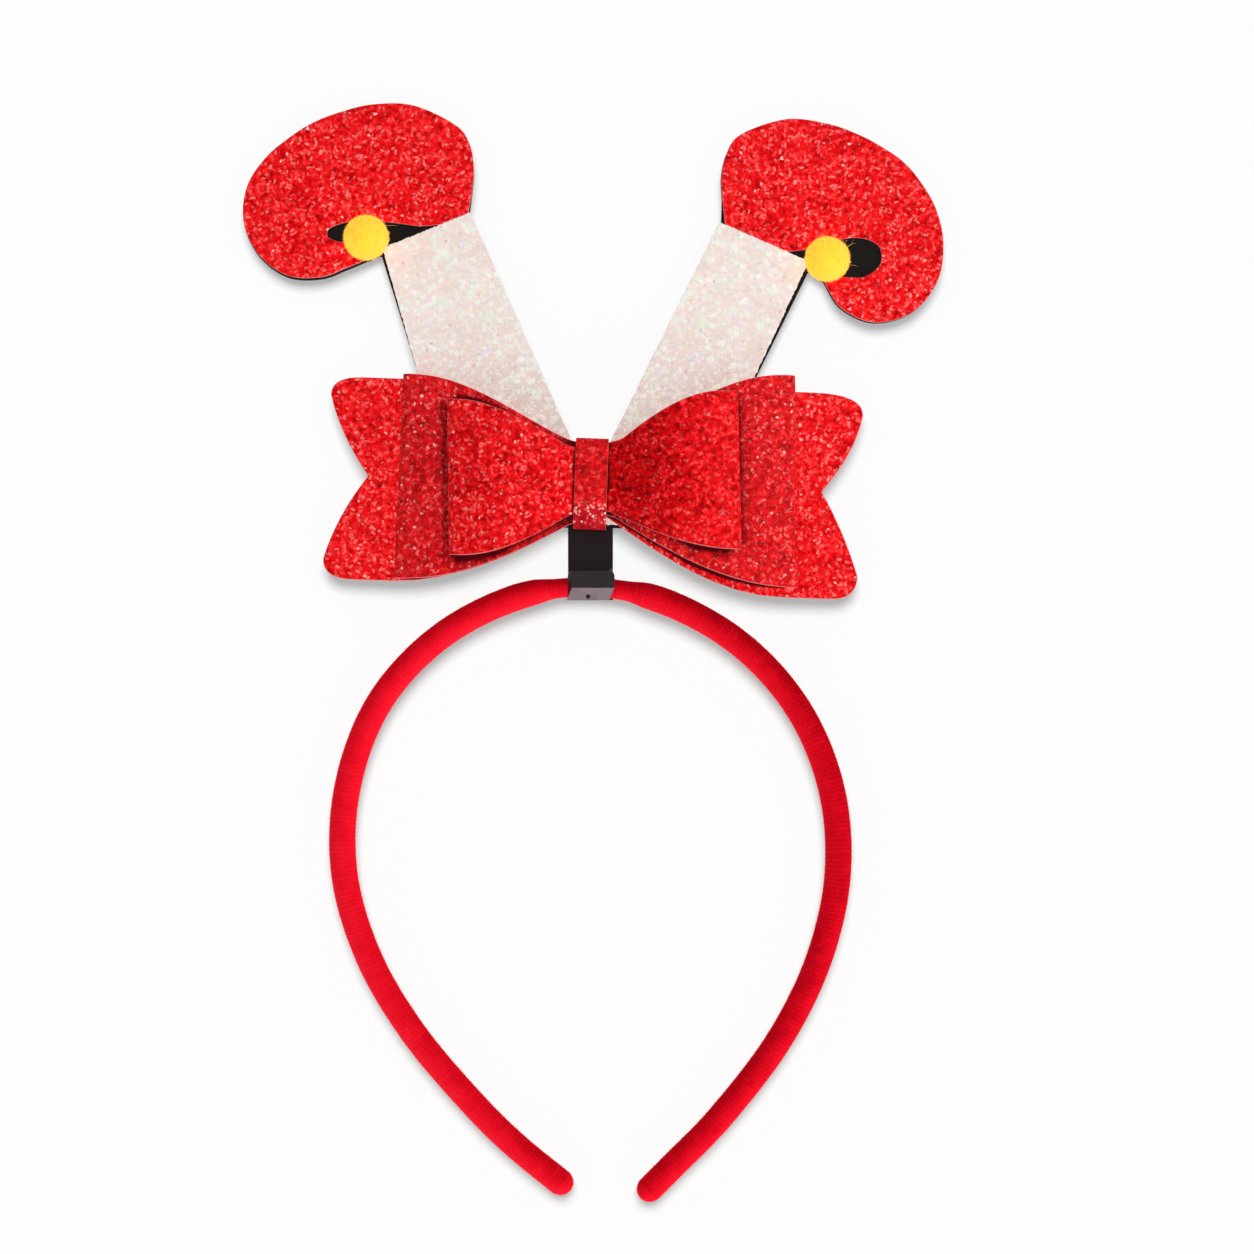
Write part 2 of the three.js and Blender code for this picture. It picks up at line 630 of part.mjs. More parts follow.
// The knot's strap: a rounded ring round the bow's middle, crowned a little in front.
function bowKnotGeometry() {
  const low = KNOT_BASE;
  const high = LARGE_BASE + 4 * LAYER + SHEET;
  const ring = (inset, path) => {
    const crown = KNOT_CROWN_Y - inset;
    const foot = KNOT_FOOT_Y + inset;
    const base = low + inset;
    const front = high - inset;
    const round = KNOT_ROUND - inset / 2;
    const footRound = KNOT_FOOT_ROUND - inset;
    path.moveTo(foot + round, base);
    path.lineTo(crown - round, base);
    path.quadraticCurveTo(crown, base, crown, base + round);
    path.lineTo(crown, front - round);
    path.quadraticCurveTo(crown, front, crown - round, front);
    path.quadraticCurveTo(0, front + 2 * KNOT_BULGE, foot + footRound, front);
    path.quadraticCurveTo(foot, front, foot, front - footRound);
    path.lineTo(foot, base + round);
    path.quadraticCurveTo(foot, base, foot + round, base);
    return path;
  };
  const shape = ring(0, new THREE.Shape());
  shape.holes.push(ring(SHEET, new THREE.Path()));
  const strap = new THREE.ExtrudeGeometry(shape, {
    depth: KNOT_WIDTH,
    bevelEnabled: false,
    curveSegments: SHEET_SEGMENTS,
  });
  return standOnSide(strap, -KNOT_WIDTH / 2);
}

function addPiece(group, name, geometry, finish) {
  const mesh = new THREE.Mesh(geometry, new THREE.MeshStandardMaterial(COLOURS[finish]));
  mesh.name = name;
  group.add(mesh);
}

const headpiece = new THREE.Group();
addPiece(headpiece, "headband", headbandGeometry(), "velvet");
addPiece(headpiece, "slide_clip", slideClipGeometry(), "plastic");

const ornament = new THREE.Group();
ornament.position.set(KNOT_PLACE.x, KNOT_PLACE.y, 0);
ornament.rotation.z = radians(ORNAMENT_LEAN_DEG);
headpiece.add(ornament);
addPiece(ornament, "legs_backing", backingGeometry(), "foam");
for (const [side, name] of [[-1, "left"], [1, "right"]]) {
  addPiece(ornament, `leg_${name}`, legGeometry(side), "whiteGlitter");
  addPiece(ornament, `shoe_${name}`, shoeGeometry(side), "redGlitter");
  addPiece(ornament, `pompom_${name}`, pompomGeometry(side), "yellowPile");
}
addPiece(ornament, "bow_tails", bowTailsGeometry(), "redGlitter");
addPiece(ornament, "bow_loop_large", bowLoopGeometry("large"), "redGlitter");
addPiece(ornament, "bow_loop_small", bowLoopGeometry("small"), "redGlitter");
addPiece(ornament, "bow_knot", bowKnotGeometry(), "redGlitter");

export default headpiece;
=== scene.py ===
import math

import bpy
import numpy as np
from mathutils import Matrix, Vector
from mathutils.bvhtree import BVHTree
from mathutils.geometry import interpolate_bezier
from mathutils.kdtree import KDTree


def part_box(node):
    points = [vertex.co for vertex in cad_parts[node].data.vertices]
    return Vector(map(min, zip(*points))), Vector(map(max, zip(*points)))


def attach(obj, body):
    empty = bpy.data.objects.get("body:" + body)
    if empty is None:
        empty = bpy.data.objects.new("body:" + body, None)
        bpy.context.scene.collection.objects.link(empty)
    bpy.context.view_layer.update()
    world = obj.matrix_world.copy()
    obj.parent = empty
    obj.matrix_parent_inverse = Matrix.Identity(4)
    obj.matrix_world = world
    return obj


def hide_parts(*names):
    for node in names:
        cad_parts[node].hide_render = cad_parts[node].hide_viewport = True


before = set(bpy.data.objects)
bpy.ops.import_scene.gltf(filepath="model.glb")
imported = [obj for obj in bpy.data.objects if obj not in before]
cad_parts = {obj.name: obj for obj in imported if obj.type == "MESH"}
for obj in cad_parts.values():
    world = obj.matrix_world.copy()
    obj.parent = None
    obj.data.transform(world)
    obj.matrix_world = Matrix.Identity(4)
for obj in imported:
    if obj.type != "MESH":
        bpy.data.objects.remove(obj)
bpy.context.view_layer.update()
scene = bpy.context.scene


# The camera looks straight down on the headband, which lies on its back with the shoes at the picture's top.
# Its lens gives the scale at the height of the legs, a little under a quarter of a millimetre to a pixel.
PICTURE_PIXELS = 1254
PIXEL = 0.0002375
LEGS_HEIGHT = 0.004
CAMERA_PLACE = (0.0080, 0.0063, 0.9)
bpy.ops.object.camera_add(location=CAMERA_PLACE, rotation=(0, 0, 0))
camera = bpy.context.object
camera.data.lens = camera.data.sensor_width * (CAMERA_PLACE[2] - LEGS_HEIGHT) / (PICTURE_PIXELS * PIXEL)
camera.data.clip_start = 0.02
scene.camera = camera
scene.view_settings.view_transform = "Standard"


# The table is white card, lit evenly from all round, with a broad lamp above the shoes for its soft shadow.
# Only the low pieces cast that shadow. One lamp at the right and one beyond the band's tips brighten the
# sides of the pieces that face them.
class Wire:
    """An output socket of a material's nodes. Arithmetic on it adds Math nodes, and node() adds any other."""

    def __init__(self, socket):
        self.socket = socket

    def node(self, kind, settings, sockets, output=0):
        tree = self.socket.id_data
        node = tree.nodes.new("ShaderNode" + kind)
        for name, value in settings.items():
            if name == "stops":
                ramp = node.color_ramp.elements
                while len(ramp) < len(value):
                    ramp.new(1.0)
                for stop, (place, colour) in zip(ramp, value):
                    stop.position = place
                    stop.color = (*colour, 1.0)
            else:
                setattr(node, name, value)
        shown = [socket for socket in node.inputs if socket.enabled]
        if isinstance(sockets, dict):
            pairs = [(next(s for s in shown if s.name == name), value) for name, value in sockets.items()]
        else:
            pairs = list(zip(shown, sockets))
        for socket, value in pairs:
            if isinstance(value, Wire):
                tree.links.new(value.socket, socket)
            else:
                socket.default_value = value
        if isinstance(output, str):
            return Wire(node.outputs[output])
        return Wire([socket for socket in node.outputs if socket.enabled][output])

    def other(self, name):
        return Wire(self.socket.node.outputs[name])

    def into(self, shader, name):
        self.socket.id_data.links.new(self.socket, shader.inputs[name])

    def math(self, operation, *values):
        return self.node("Math", {"operation": operation}, values)

    def __add__(self, value):
        return self.math("ADD", self, value)

    def __sub__(self, value):
        return self.math("SUBTRACT", self, value)

    def __rsub__(self, value):
        return self.math("SUBTRACT", value, self)

    def __mul__(self, value):
        return self.math("MULTIPLY", self, value)

    def __pow__(self, value):
        return self.math("POWER", self, value)

    __radd__ = __add__
    __rmul__ = __mul__


def new_finish(name, coordinates):
    """A material with its shader, and the wire of the coordinates that its pattern follows."""
    material = bpy.data.materials.new(name)
    material.use_nodes = True
    nodes = material.node_tree.nodes
    place = Wire(nodes.new("ShaderNodeTexCoord").outputs[coordinates])
    return material, nodes["Principled BSDF"], place


def blend_colours(factor, first, second):
    """One colour turning into another as the factor goes from 0 to 1."""
    colours = [value if isinstance(value, Wire) else (*value, 1.0) for value in (first, second)]
    return factor.node("Mix", {"data_type": "RGBA"}, {"Factor": factor, "A": colours[0], "B": colours[1]})


def noise(place, per_metre, detail=2.0):
    """Cloudy values about one half, with so many clouds to the metre."""
    return place.node("TexNoise", {}, {"Vector": place, "Scale": per_metre, "Detail": detail})


def ease(value, start, end):
    """From 0 at the start to 1 at the end, softly."""
    sockets = {"Value": value, "From Min": start, "From Max": end}
    return value.node("MapRange", {"interpolation_type": "SMOOTHSTEP"}, sockets)


def bump(height, distance):
    """A normal from a pattern of heights between 0 and 1, so deep in metres."""
    return height.node("Bump", {}, {"Height": height, "Distance": distance, "Strength": 1.0})


TABLE_SIDE = 4.0
TABLE_DROP = 0.0003
CARD_DARK = (0.116, 0.116, 0.116)
CARD_PALE = (0.124, 0.124, 0.124)
CARD_GLOW = 0.41
bpy.ops.object.select_all(action="DESELECT")
bpy.ops.mesh.primitive_plane_add(size=TABLE_SIDE, location=(0, 0, -TABLE_DROP))
table = bpy.context.object
table.name = "table"
card, card_shader, card_place = new_finish("white_card", "Object")
blend_colours(noise(card_place, 900.0), CARD_DARK, CARD_PALE).into(card_shader, "Base Color")
card_shader.inputs["Roughness"].default_value = 0.9
card_shader.inputs["Specular IOR Level"].default_value = 0.0
card_shader.inputs["Emission Color"].default_value = (1, 1, 1, 1)
card_shader.inputs["Emission Strength"].default_value = CARD_GLOW
table.data.materials.append(card)

SKY_STRENGTH = 0.55
studio = bpy.data.worlds.new("studio")
studio.use_nodes = True
studio.node_tree.nodes["Background"].inputs["Color"].default_value = (1, 1, 1, 1)
studio.node_tree.nodes["Background"].inputs["Strength"].default_value = SKY_STRENGTH
scene.world = studio


def lamp(name, kind, place, power):
    """A lamp at a place, aimed at the middle of the table."""
    bpy.ops.object.light_add(type=kind, location=place)
    light = bpy.context.object
    light.name = name
    light.data.energy = power
    light.rotation_euler = (-Vector(place)).to_track_quat("-Z", "Y").to_euler()
    return light


shadow_lamp = lamp("shadow_lamp", "SUN", (0.0, 0.35, 0.8), 14.55)
shadow_lamp.data.angle = math.radians(30)
side_lamp = lamp("side_lamp", "AREA", (0.90, 0.30, 0.80), 6.8)
side_lamp.data.size = 0.6
front_lamp = lamp("front_lamp", "AREA", (0.05, -0.95, 0.60), 4.9)
front_lamp.data.shape = "RECTANGLE"
front_lamp.data.size = 0.5
front_lamp.data.size_y = 0.25
table_alone = bpy.data.collections.new("table_alone")
table_alone.objects.link(table)
shadow_lamp.light_linking.receiver_collection = table_alone
not_table = bpy.data.collections.new("not_table")
not_table.objects.link(table)
not_table.collection_objects[0].light_linking.link_state = "EXCLUDE"
for light in (side_lamp, front_lamp):
    light.light_linking.receiver_collection = not_table
    light.light_linking.blocker_collection = table_alone


# The headband is a springy plastic hoop in a sleeve of red velvet, pulled on so that it gathers in fine ribs.
# The sleeve is an oval swept along the hoop's line, and its pile stands on it as short leaning fibres.
MERGE_DISTANCE = 0.000002
HOOP_SIDES = 14
HOOP_DEPTH = 0.0072
HOOP_STEPS = 12
SLEEVE_WIDTH = 0.0064
SLEEVE_DEPTH = 0.0068
SLEEVE_ROUND = 6
RIB_PITCH = 0.00105
RIB_POINTS = 5
RIB_RISE = 0.014
RIB_LEAST = 0.3
RIB_SEED = 11
PILE_PER_SQUARE_METRE = 4.2e6
PILE_LENGTH = (0.00022, 0.00042)
PILE_THICKNESS = 0.000035
PILE_SUNK = 0.00005
PILE_SPREAD = 0.55
PILE_SEED = 12
# The velvet's colour carries painted light and shade, stored on each vertex: lighter where it faces the
# band's tips, at its rims and on its ribs, and darker where it faces the shoes and towards the band's right.
PAINTED_LIGHT_BASE = 0.44
PAINTED_LIGHT_LEAN = np.array([-0.10, -0.46, 0.0])
PAINTED_RIM_SHEEN = 0.24
PAINTED_SHADE_TO_RIGHT = 3.0
PAINTED_RIB_LIGHT = 0.13


def activate(piece):
    """Makes a piece the only selected object."""
    bpy.ops.object.select_all(action="DESELECT")
    piece.select_set(True)
    bpy.context.view_layer.objects.active = piece


def copy_of(node, name):
    """A new piece with a CAD node's mesh, its loose triangles merged."""
    piece = bpy.data.objects.new(name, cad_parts[node].data.copy())
    scene.collection.objects.link(piece)
    piece.data.materials.clear()
    activate(piece)
    if piece.data.has_custom_normals:
        bpy.ops.mesh.customdata_custom_splitnormals_clear()
    bpy.ops.object.mode_set(mode="EDIT")
    bpy.ops.mesh.select_all(action="SELECT")
    bpy.ops.mesh.remove_doubles(threshold=MERGE_DISTANCE)
    bpy.ops.object.mode_set(mode="OBJECT")
    return piece


def corners_of(mesh):
    """The mesh's vertices as an array of places."""
    corners = np.empty(len(mesh.vertices) * 3, dtype=np.float32)
    mesh.vertices.foreach_get("co", corners)
    return corners.reshape(-1, 3).astype(float)


def rings_along(mesh, first_ring):
    """The vertices of a tube, ring after ring from the first one."""
    beside = [set() for _ in mesh.vertices]
    for edge in mesh.edges:
        a, b = edge.vertices
        beside[a].add(b)
        beside[b].add(a)
    rings = [set(first_ring)]
    seen = set(first_ring)
    while rings[-1]:
        following = set().union(*(beside[vertex] for vertex in rings[-1])) - seen
        seen |= following
        rings.append(following)
    return [sorted(ring) for ring in rings[:-1]]


def smooth_line(points, steps):
    """A smooth line through points, with so many steps between one and the next."""
    points = [Vector(point) for point in points]
    line = [points[0]]
    for i in range(len(points) - 1):
        before = points[max(i - 1, 0)]
        after = points[min(i + 2, len(points) - 1)]
        start_handle = points[i] + (points[i + 1] - before) / 6
        end_handle = points[i + 1] - (after - points[i]) / 6
        line += interpolate_bezier(points[i], start_handle, end_handle, points[i + 1], steps + 1)[1:]
    return np.array(line)


def scatter(mesh, per_square_metre, seed):
    """Random places on a mesh, evenly spread, and the surface's normals there."""
    mesh.calc_loop_triangles()
    chosen = np.empty(len(mesh.loop_triangles) * 3, dtype=np.int32)
    mesh.loop_triangles.foreach_get("vertices", chosen)
    a, b, c = corners_of(mesh)[chosen.reshape(-1, 3)].transpose(1, 0, 2)
    crossed = np.cross(b - a, c - a)
    double_area = np.linalg.norm(crossed, axis=1)
    draw = np.random.default_rng(seed)
    count = int(double_area.sum() / 2 * per_square_metre)
    pick = draw.choice(len(a), count, p=double_area / double_area.sum())
    u, v = draw.random((2, count, 1))
    over = u + v > 1
    u, v = np.where(over, 1 - u, u), np.where(over, 1 - v, v)
    places = a[pick] + u * (b - a)[pick] + v * (c - a)[pick]
    return places, crossed[pick] / double_area[pick, None], draw


def unit(vectors):
    """The same directions at length 1."""
    return vectors / np.linalg.norm(vectors, axis=-1, keepdims=True)


def store_painted_light(mesh, values):
    """Stores the painted light and shade at each vertex, from 0 to 1."""
    nap = mesh.attributes.new("nap", "FLOAT", "POINT")
    nap.data.foreach_set("value", np.clip(values, 0, 1))


def fibres(name, levels, thickness):
    """Three-sided fibres as one mesh.
    Each level holds one point of every fibre, and the last level is their tips."""
    count = len(levels[0])
    run = unit(levels[-1] - levels[0])
    side = unit(np.cross(run, np.where(np.abs(run[:, 2:]) < 0.9, (0.0, 0.0, 1.0), (1.0, 0.0, 0.0))))
    across = np.cross(run, side)
    places = []
    for i, level in enumerate(levels[:-1]):
        radius = thickness * (1 - 0.5 * i / (len(levels) - 1))
        for turn in range(3):
            angle = math.tau * turn / 3
            places.append(level + radius * (math.cos(angle) * side + math.sin(angle) * across))
    places.append(levels[-1])
    rows = np.arange(count)
    faces = []
    for i in range(len(levels) - 2):
        for turn in range(3):
            a, b = 3 * i + turn, 3 * i + (turn + 1) % 3
            faces.append(np.stack([corner * count + rows for corner in (a, b, b + 3, a + 3)], 1))
    last = 3 * (len(levels) - 2)
    for turn in range(3):
        a, b = last + turn, last + (turn + 1) % 3
        faces.append(np.stack([corner * count + rows for corner in (a, b, last + 3)], 1))
    faces = [face for block in faces for face in block.tolist()]
    mesh = bpy.data.meshes.new(name)
    mesh.from_pydata(np.concatenate(places).tolist(), [], faces)
    mesh.update()
    piece = bpy.data.objects.new(name, mesh)
    scene.collection.objects.link(piece)
    return piece


hoop = copy_of("headband", "hoop_line")
hoop_corners = corners_of(hoop.data)
left_end = max((c for c in hoop_corners if c[0] < 0), key=lambda c: c[0] - c[1])
end_first = np.argsort(np.linalg.norm(hoop_corners - left_end, axis=1))
hoop_rings = rings_along(hoop.data, end_first[:HOOP_SIDES])
hoop_rings = [ring for ring in hoop_rings if len(ring) == HOOP_SIDES]
hoop_middle = [hoop_corners[ring].mean(axis=0) for ring in hoop_rings]
hoop_share = [np.ptp(hoop_corners[ring][:, 2]) / HOOP_DEPTH for ring in hoop_rings]
bpy.data.objects.remove(hoop)

line = smooth_line(hoop_middle, HOOP_STEPS)
line_share = smooth_line([(share, 0, 0) for share in hoop_share], HOOP_STEPS)[:, 0]
line_along = np.concatenate([[0], np.cumsum(np.linalg.norm(np.diff(line, axis=0), axis=1))])
sleeve_along = np.arange(0, line_along[-1], RIB_PITCH / RIB_POINTS)
sleeve_line = np.stack([np.interp(sleeve_along, line_along, line[:, axis]) for axis in range(3)], axis=1)
rib_draw = np.random.default_rng(RIB_SEED)
rib_count = int(line_along[-1] / RIB_PITCH) + 2
rib_height = np.repeat(rib_draw.uniform(RIB_LEAST, 1.0, rib_count), RIB_POINTS)[:len(sleeve_along)]
ribs = 1 + RIB_RISE * rib_height * np.abs(np.sin(math.pi * sleeve_along / RIB_PITCH))
sleeve_radius = np.interp(sleeve_along, line_along, line_share) * ribs

bpy.ops.object.select_all(action="DESELECT")
bpy.ops.curve.primitive_bezier_circle_add(radius=1)
oval = bpy.context.object
oval.data.resolution_u = SLEEVE_ROUND
oval.scale = (SLEEVE_WIDTH / 2, SLEEVE_DEPTH / 2, 1)
sweep = bpy.data.curves.new("headband_sleeve", "CURVE")
sweep.dimensions = "3D"
sweep.twist_mode = "Z_UP"
sweep.bevel_mode = "OBJECT"
sweep.bevel_object = oval
sweep.use_fill_caps = True
spline = sweep.splines.new("POLY")
spline.points.add(len(sleeve_line) - 1)
spline.points.foreach_set("co", np.column_stack([sleeve_line, np.ones(len(sleeve_line))]).ravel())
spline.points.foreach_set("radius", sleeve_radius)
sleeve = bpy.data.objects.new("headband_sleeve", sweep)
scene.collection.objects.link(sleeve)
activate(sleeve)
bpy.ops.object.convert(target="MESH")
sleeve = bpy.context.object
bpy.data.objects.remove(oval)
bpy.ops.object.mode_set(mode="EDIT")
bpy.ops.mesh.select_all(action="SELECT")
bpy.ops.mesh.remove_doubles(threshold=MERGE_DISTANCE)
bpy.ops.mesh.normals_make_consistent(inside=False)
bpy.ops.object.mode_set(mode="OBJECT")
bpy.ops.object.shade_smooth()

pile_root, pile_up, pile_draw = scatter(sleeve.data, PILE_PER_SQUARE_METRE, PILE_SEED)
pile_lean = unit(pile_up + PILE_SPREAD * pile_draw.normal(size=pile_up.shape))
pile_tip = pile_root + pile_lean * pile_draw.uniform(*PILE_LENGTH, (len(pile_root), 1))
pile = fibres("headband_pile", [pile_root - PILE_SUNK * pile_up, pile_tip], PILE_THICKNESS)

sleeve_finder = KDTree(len(sleeve_line))
for i, place in enumerate(sleeve_line):
    sleeve_finder.insert(place, i)
sleeve_finder.balance()


def velvet_painted_light(places, normals):
    """The velvet's painted light and shade: lightest where it faces the band's tips, at its rims and on its
    ribs.
    It is darkest where it faces the shoes and at the band's right."""
    rim = 1 - np.abs(normals[:, 2])
    nearest = [sleeve_finder.find(place)[1] for place in places]
    rib = (ribs[nearest] - ribs.mean()) / np.ptp(ribs)
    return PAINTED_LIGHT_BASE + normals @ PAINTED_LIGHT_LEAN + PAINTED_RIM_SHEEN * rim + PAINTED_RIB_LIGHT * rib - PAINTED_SHADE_TO_RIGHT * places[:, 0]


sleeve_normals = np.empty(len(sleeve.data.vertices) * 3, dtype=np.float32)
sleeve.data.vertices.foreach_get("normal", sleeve_normals)
store_painted_light(sleeve.data, velvet_painted_light(corners_of(sleeve.data), sleeve_normals.reshape(-1, 3)))
store_painted_light(pile.data, np.tile(velvet_painted_light(pile_root, pile_up), len(pile.data.vertices) // len(pile_root)))


def velvet_finish(name):
    """Red velvet, as bright as the painted light and shade stored on it, with fine flecks and soft patches.
    """
    material, shader, place = new_finish(name, "Object")
    # The painted light and shade stored on each vertex.
    nap = place.node("Attribute", {"attribute_name": "nap"}, [], "Fac")
    cloud = noise(place, 260.0, 3.0)
    fleck = noise(place, 2600.0, 1.0)
    lie = nap + (cloud - 0.5) * 0.45 + (fleck - 0.5) * 0.5
    stops = [
        (0.0, (0.36, 0.0008, 0.005)),
        (0.35, (0.66, 0.003, 0.012)),
        (0.7, (0.86, 0.007, 0.021)),
        (1.0, (0.95, 0.016, 0.036)),
    ]
    lie.node("ValToRGB", {"stops": stops}, [lie]).into(shader, "Base Color")
    bump(fleck, 0.00012).into(shader, "Normal")
    shader.inputs["Roughness"].default_value = 0.85
    shader.inputs["Specular IOR Level"].default_value = 0.0
    shader.inputs["Sheen Weight"].default_value = 0.06
    shader.inputs["Sheen Roughness"].default_value = 0.4
    shader.inputs["Sheen Tint"].default_value = (1.0, 0.2, 0.25, 1.0)
    return material


velvet = velvet_finish("red_velvet")
for piece in (sleeve, pile):
    piece.data.materials.clear()
    piece.data.materials.append(velvet)
    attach(piece, "root")
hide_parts("headband")


# The slide clip is one black plastic moulding: a thin plate behind the legs, with a hook over the crown.
# It is drawn out of one block, face by face, with its corners rounded and a small notch cut in the lip.
CLIP_THICK = 0.0014
HOOK_TOP = 0.0196
HOOK_WALL = 0.0012
HOOK_CREASE = 0.0156
LIP_END = 0.0127
LIP_DROP = 0.0016
HOOK_NARROW = 0.95
HOOK_SHIFT = 0.0007
LIP_SHIFT = -0.0012
LIP_TAPER = 0.9
CLIP_ROUND = 0.00028
CLIP_ROUND_ANGLE = math.radians(28)
CLIP_SMOOTH_ANGLE = math.radians(35)
HOOK_CORNER = 0.0012
NEAR = 0.00001
NOTCH_SIDES = 24
NOTCH_RADIUS = 0.00055
NOTCH_DEPTH = 0.0006
NOTCH_RISE = 0.0008
NOTCH_DROP = 0.75 * LIP_DROP
PLACE_DIGITS = 7


def pick_faces(piece, wanted):
    """In edit mode, selects the faces whose middle and normal pass a test, and no others."""
    bpy.ops.object.mode_set(mode="OBJECT")
    mesh = piece.data
    for part in (mesh.vertices, mesh.edges):
        part.foreach_set("select", np.zeros(len(part), dtype=bool))
    mesh.polygons.foreach_set("select", [wanted(face.center, face.normal) for face in mesh.polygons])
    bpy.ops.object.mode_set(mode="EDIT")


def pick_edges(piece, wanted):
    """In edit mode, selects the edges whose two ends pass a test, and no others."""
    bpy.ops.object.mode_set(mode="OBJECT")
    mesh = piece.data
    for part in (mesh.vertices, mesh.polygons):
        part.foreach_set("select", np.zeros(len(part), dtype=bool))
    ends = [[mesh.vertices[v].co for v in edge.vertices] for edge in mesh.edges]
    mesh.edges.foreach_set("select", [wanted(a, b) for a, b in ends])
    bpy.ops.object.mode_set(mode="EDIT")


def draw_out(move):
    """Extrudes the selected face by a move."""
    bpy.ops.mesh.extrude_region_move(TRANSFORM_OT_translate={"value": move})


def put_in_order(mesh):
    """Rebuilds a mesh with its vertices and faces in the order of their places, the same on every run."""
    places = np.round([vertex.co for vertex in mesh.vertices], PLACE_DIGITS)
    order = np.lexsort(places.T)
    rank = np.argsort(order)
    faces = []
    for face in mesh.polygons:
        ring = [int(rank[corner]) for corner in face.vertices]
        first = ring.index(min(ring))
        faces.append(ring[first:] + ring[:first])
    mesh.clear_geometry()
    mesh.from_pydata(places[order].tolist(), [], sorted(faces))


clip_low, clip_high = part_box("slide_clip")
clip_middle = (clip_low[0] + clip_high[0]) / 2
clip_width = clip_high[0] - clip_low[0]
bpy.ops.object.select_all(action="DESELECT")
bpy.ops.mesh.primitive_cube_add(size=1)
clip = bpy.context.object
clip.name = "slide_clip_moulding"
clip.scale = (clip_width, clip_high[1] - HOOK_TOP, CLIP_THICK)
clip.location = (clip_middle, (clip_high[1] + HOOK_TOP) / 2, clip_low[2] + CLIP_THICK / 2)
bpy.ops.object.transform_apply(location=True, rotation=True, scale=True)
scene.tool_settings.mesh_select_mode = (False, False, True)
pick_faces(clip, lambda middle, normal: normal.y < -0.9)
draw_out((0, -HOOK_WALL, 0))
draw_out((0, clip_low[1] - HOOK_TOP + HOOK_WALL, 0))
hook_front = clip_high[2]
pick_faces(clip, lambda middle, normal: normal.z > 0.9 and HOOK_TOP - HOOK_WALL < middle.y < HOOK_TOP)
draw_out((0, 0, hook_front - HOOK_WALL - CLIP_THICK))
draw_out((0, 0, HOOK_WALL))
bpy.ops.transform.resize(value=(HOOK_NARROW, 1, 1), center_override=(clip_middle, HOOK_TOP, hook_front))
bpy.ops.transform.translate(value=(HOOK_SHIFT, 0, 0))
pick_faces(clip, lambda middle, normal: normal.y < -0.9 and middle.z > hook_front - HOOK_WALL)
draw_out((0, HOOK_CREASE - HOOK_TOP + HOOK_WALL, 0))
draw_out((LIP_SHIFT, LIP_END - HOOK_CREASE, -LIP_DROP))
lip_middle = clip_middle + HOOK_SHIFT + LIP_SHIFT
scene.tool_settings.mesh_select_mode = (False, True, False)
lip_back = hook_front - LIP_DROP - HOOK_WALL
pick_edges(clip, lambda a, b: all(p.y < LIP_END + NEAR and abs(p.z - lip_back) < NEAR for p in (a, b)))
lip_back_middle = (clip_middle + LIP_SHIFT, LIP_END, lip_back)
bpy.ops.transform.resize(value=(LIP_TAPER, 1, 1), center_override=lip_back_middle)
bpy.ops.transform.translate(value=(HOOK_SHIFT, 0, 0))
pick_edges(clip, lambda a, b: abs(a.y - HOOK_TOP) < NEAR and abs(b.y - HOOK_TOP) < NEAR
           and abs(a.x - b.x) < 0.001 and max(a.z, b.z) > CLIP_THICK * 1.1)
bpy.ops.mesh.bevel(offset=HOOK_CORNER, segments=3, affect="EDGES")
bpy.ops.object.mode_set(mode="OBJECT")
rounding = clip.modifiers.new("rounded_edges", "BEVEL")
rounding.width = CLIP_ROUND
rounding.segments = 3
rounding.limit_method = "ANGLE"
rounding.angle_limit = CLIP_ROUND_ANGLE
bpy.ops.object.modifier_apply(modifier="rounded_edges")
put_in_order(clip.data)
notch_place = (lip_middle, LIP_END + NOTCH_RISE, hook_front - NOTCH_DROP)
bpy.ops.mesh.primitive_cylinder_add(radius=NOTCH_RADIUS, depth=2 * NOTCH_DEPTH, vertices=NOTCH_SIDES,
                                    location=notch_place)
notch = bpy.context.object
activate(clip)
cut = clip.modifiers.new("notch", "BOOLEAN")
cut.operation = "DIFFERENCE"
cut.object = notch
bpy.ops.object.modifier_apply(modifier="notch")
bpy.data.objects.remove(notch)
bpy.ops.object.shade_smooth_by_angle(angle=CLIP_SMOOTH_ANGLE)
clip.modifiers.new("flat_faces", "WEIGHTED_NORMAL").keep_sharp = True
bpy.ops.object.modifier_apply(modifier="flat_faces")

plastic, plastic_shader, plastic_place = new_finish("black_plastic", "Object")
plastic_grain = noise(plastic_place, 4200.0, 2.0)
plastic_wear = noise(plastic_place, 240.0, 4.0)
# The hook's raised front and lip are painted lighter than the plate, a painted light on the one black
# plastic.
plastic_height = plastic_place.node("SeparateXYZ", {}, [plastic_place], "Z")
hook_painted_light = ease(plastic_height, 0.003, 0.007)
plastic_with_painted_light = blend_colours(hook_painted_light, (0.0, 0.0, 0.0), (0.019, 0.019, 0.020))
blend_colours(plastic_wear * 0.5, plastic_with_painted_light, (0.006, 0.005, 0.0055)).into(plastic_shader, "Base Color")
(plastic_wear * 0.16 + 0.17).into(plastic_shader, "Roughness")
bump(plastic_grain, 0.00002).into(plastic_shader, "Normal")
plastic_shader.inputs["Specular IOR Level"].default_value = 0.4
plastic_shader.inputs["Specular Tint"].default_value = (1.0, 0.71, 0.81, 1.0)
clip.data.materials.append(plastic)
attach(clip, "root")
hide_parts("slide_clip")


# The backing is one V of black craft foam, glued behind both legs and both shoes, and cut a little larger.
# Its cut edges are trimmed and rounded, and fine pores show where it is bare, in the notches and at the rim.
FOAM_ROUND = 0.00025
FOAM_TRIM = 0.00012
FLAT_ANGLE = math.radians(0.05)
CUT_EDGE_ANGLE = math.radians(50)


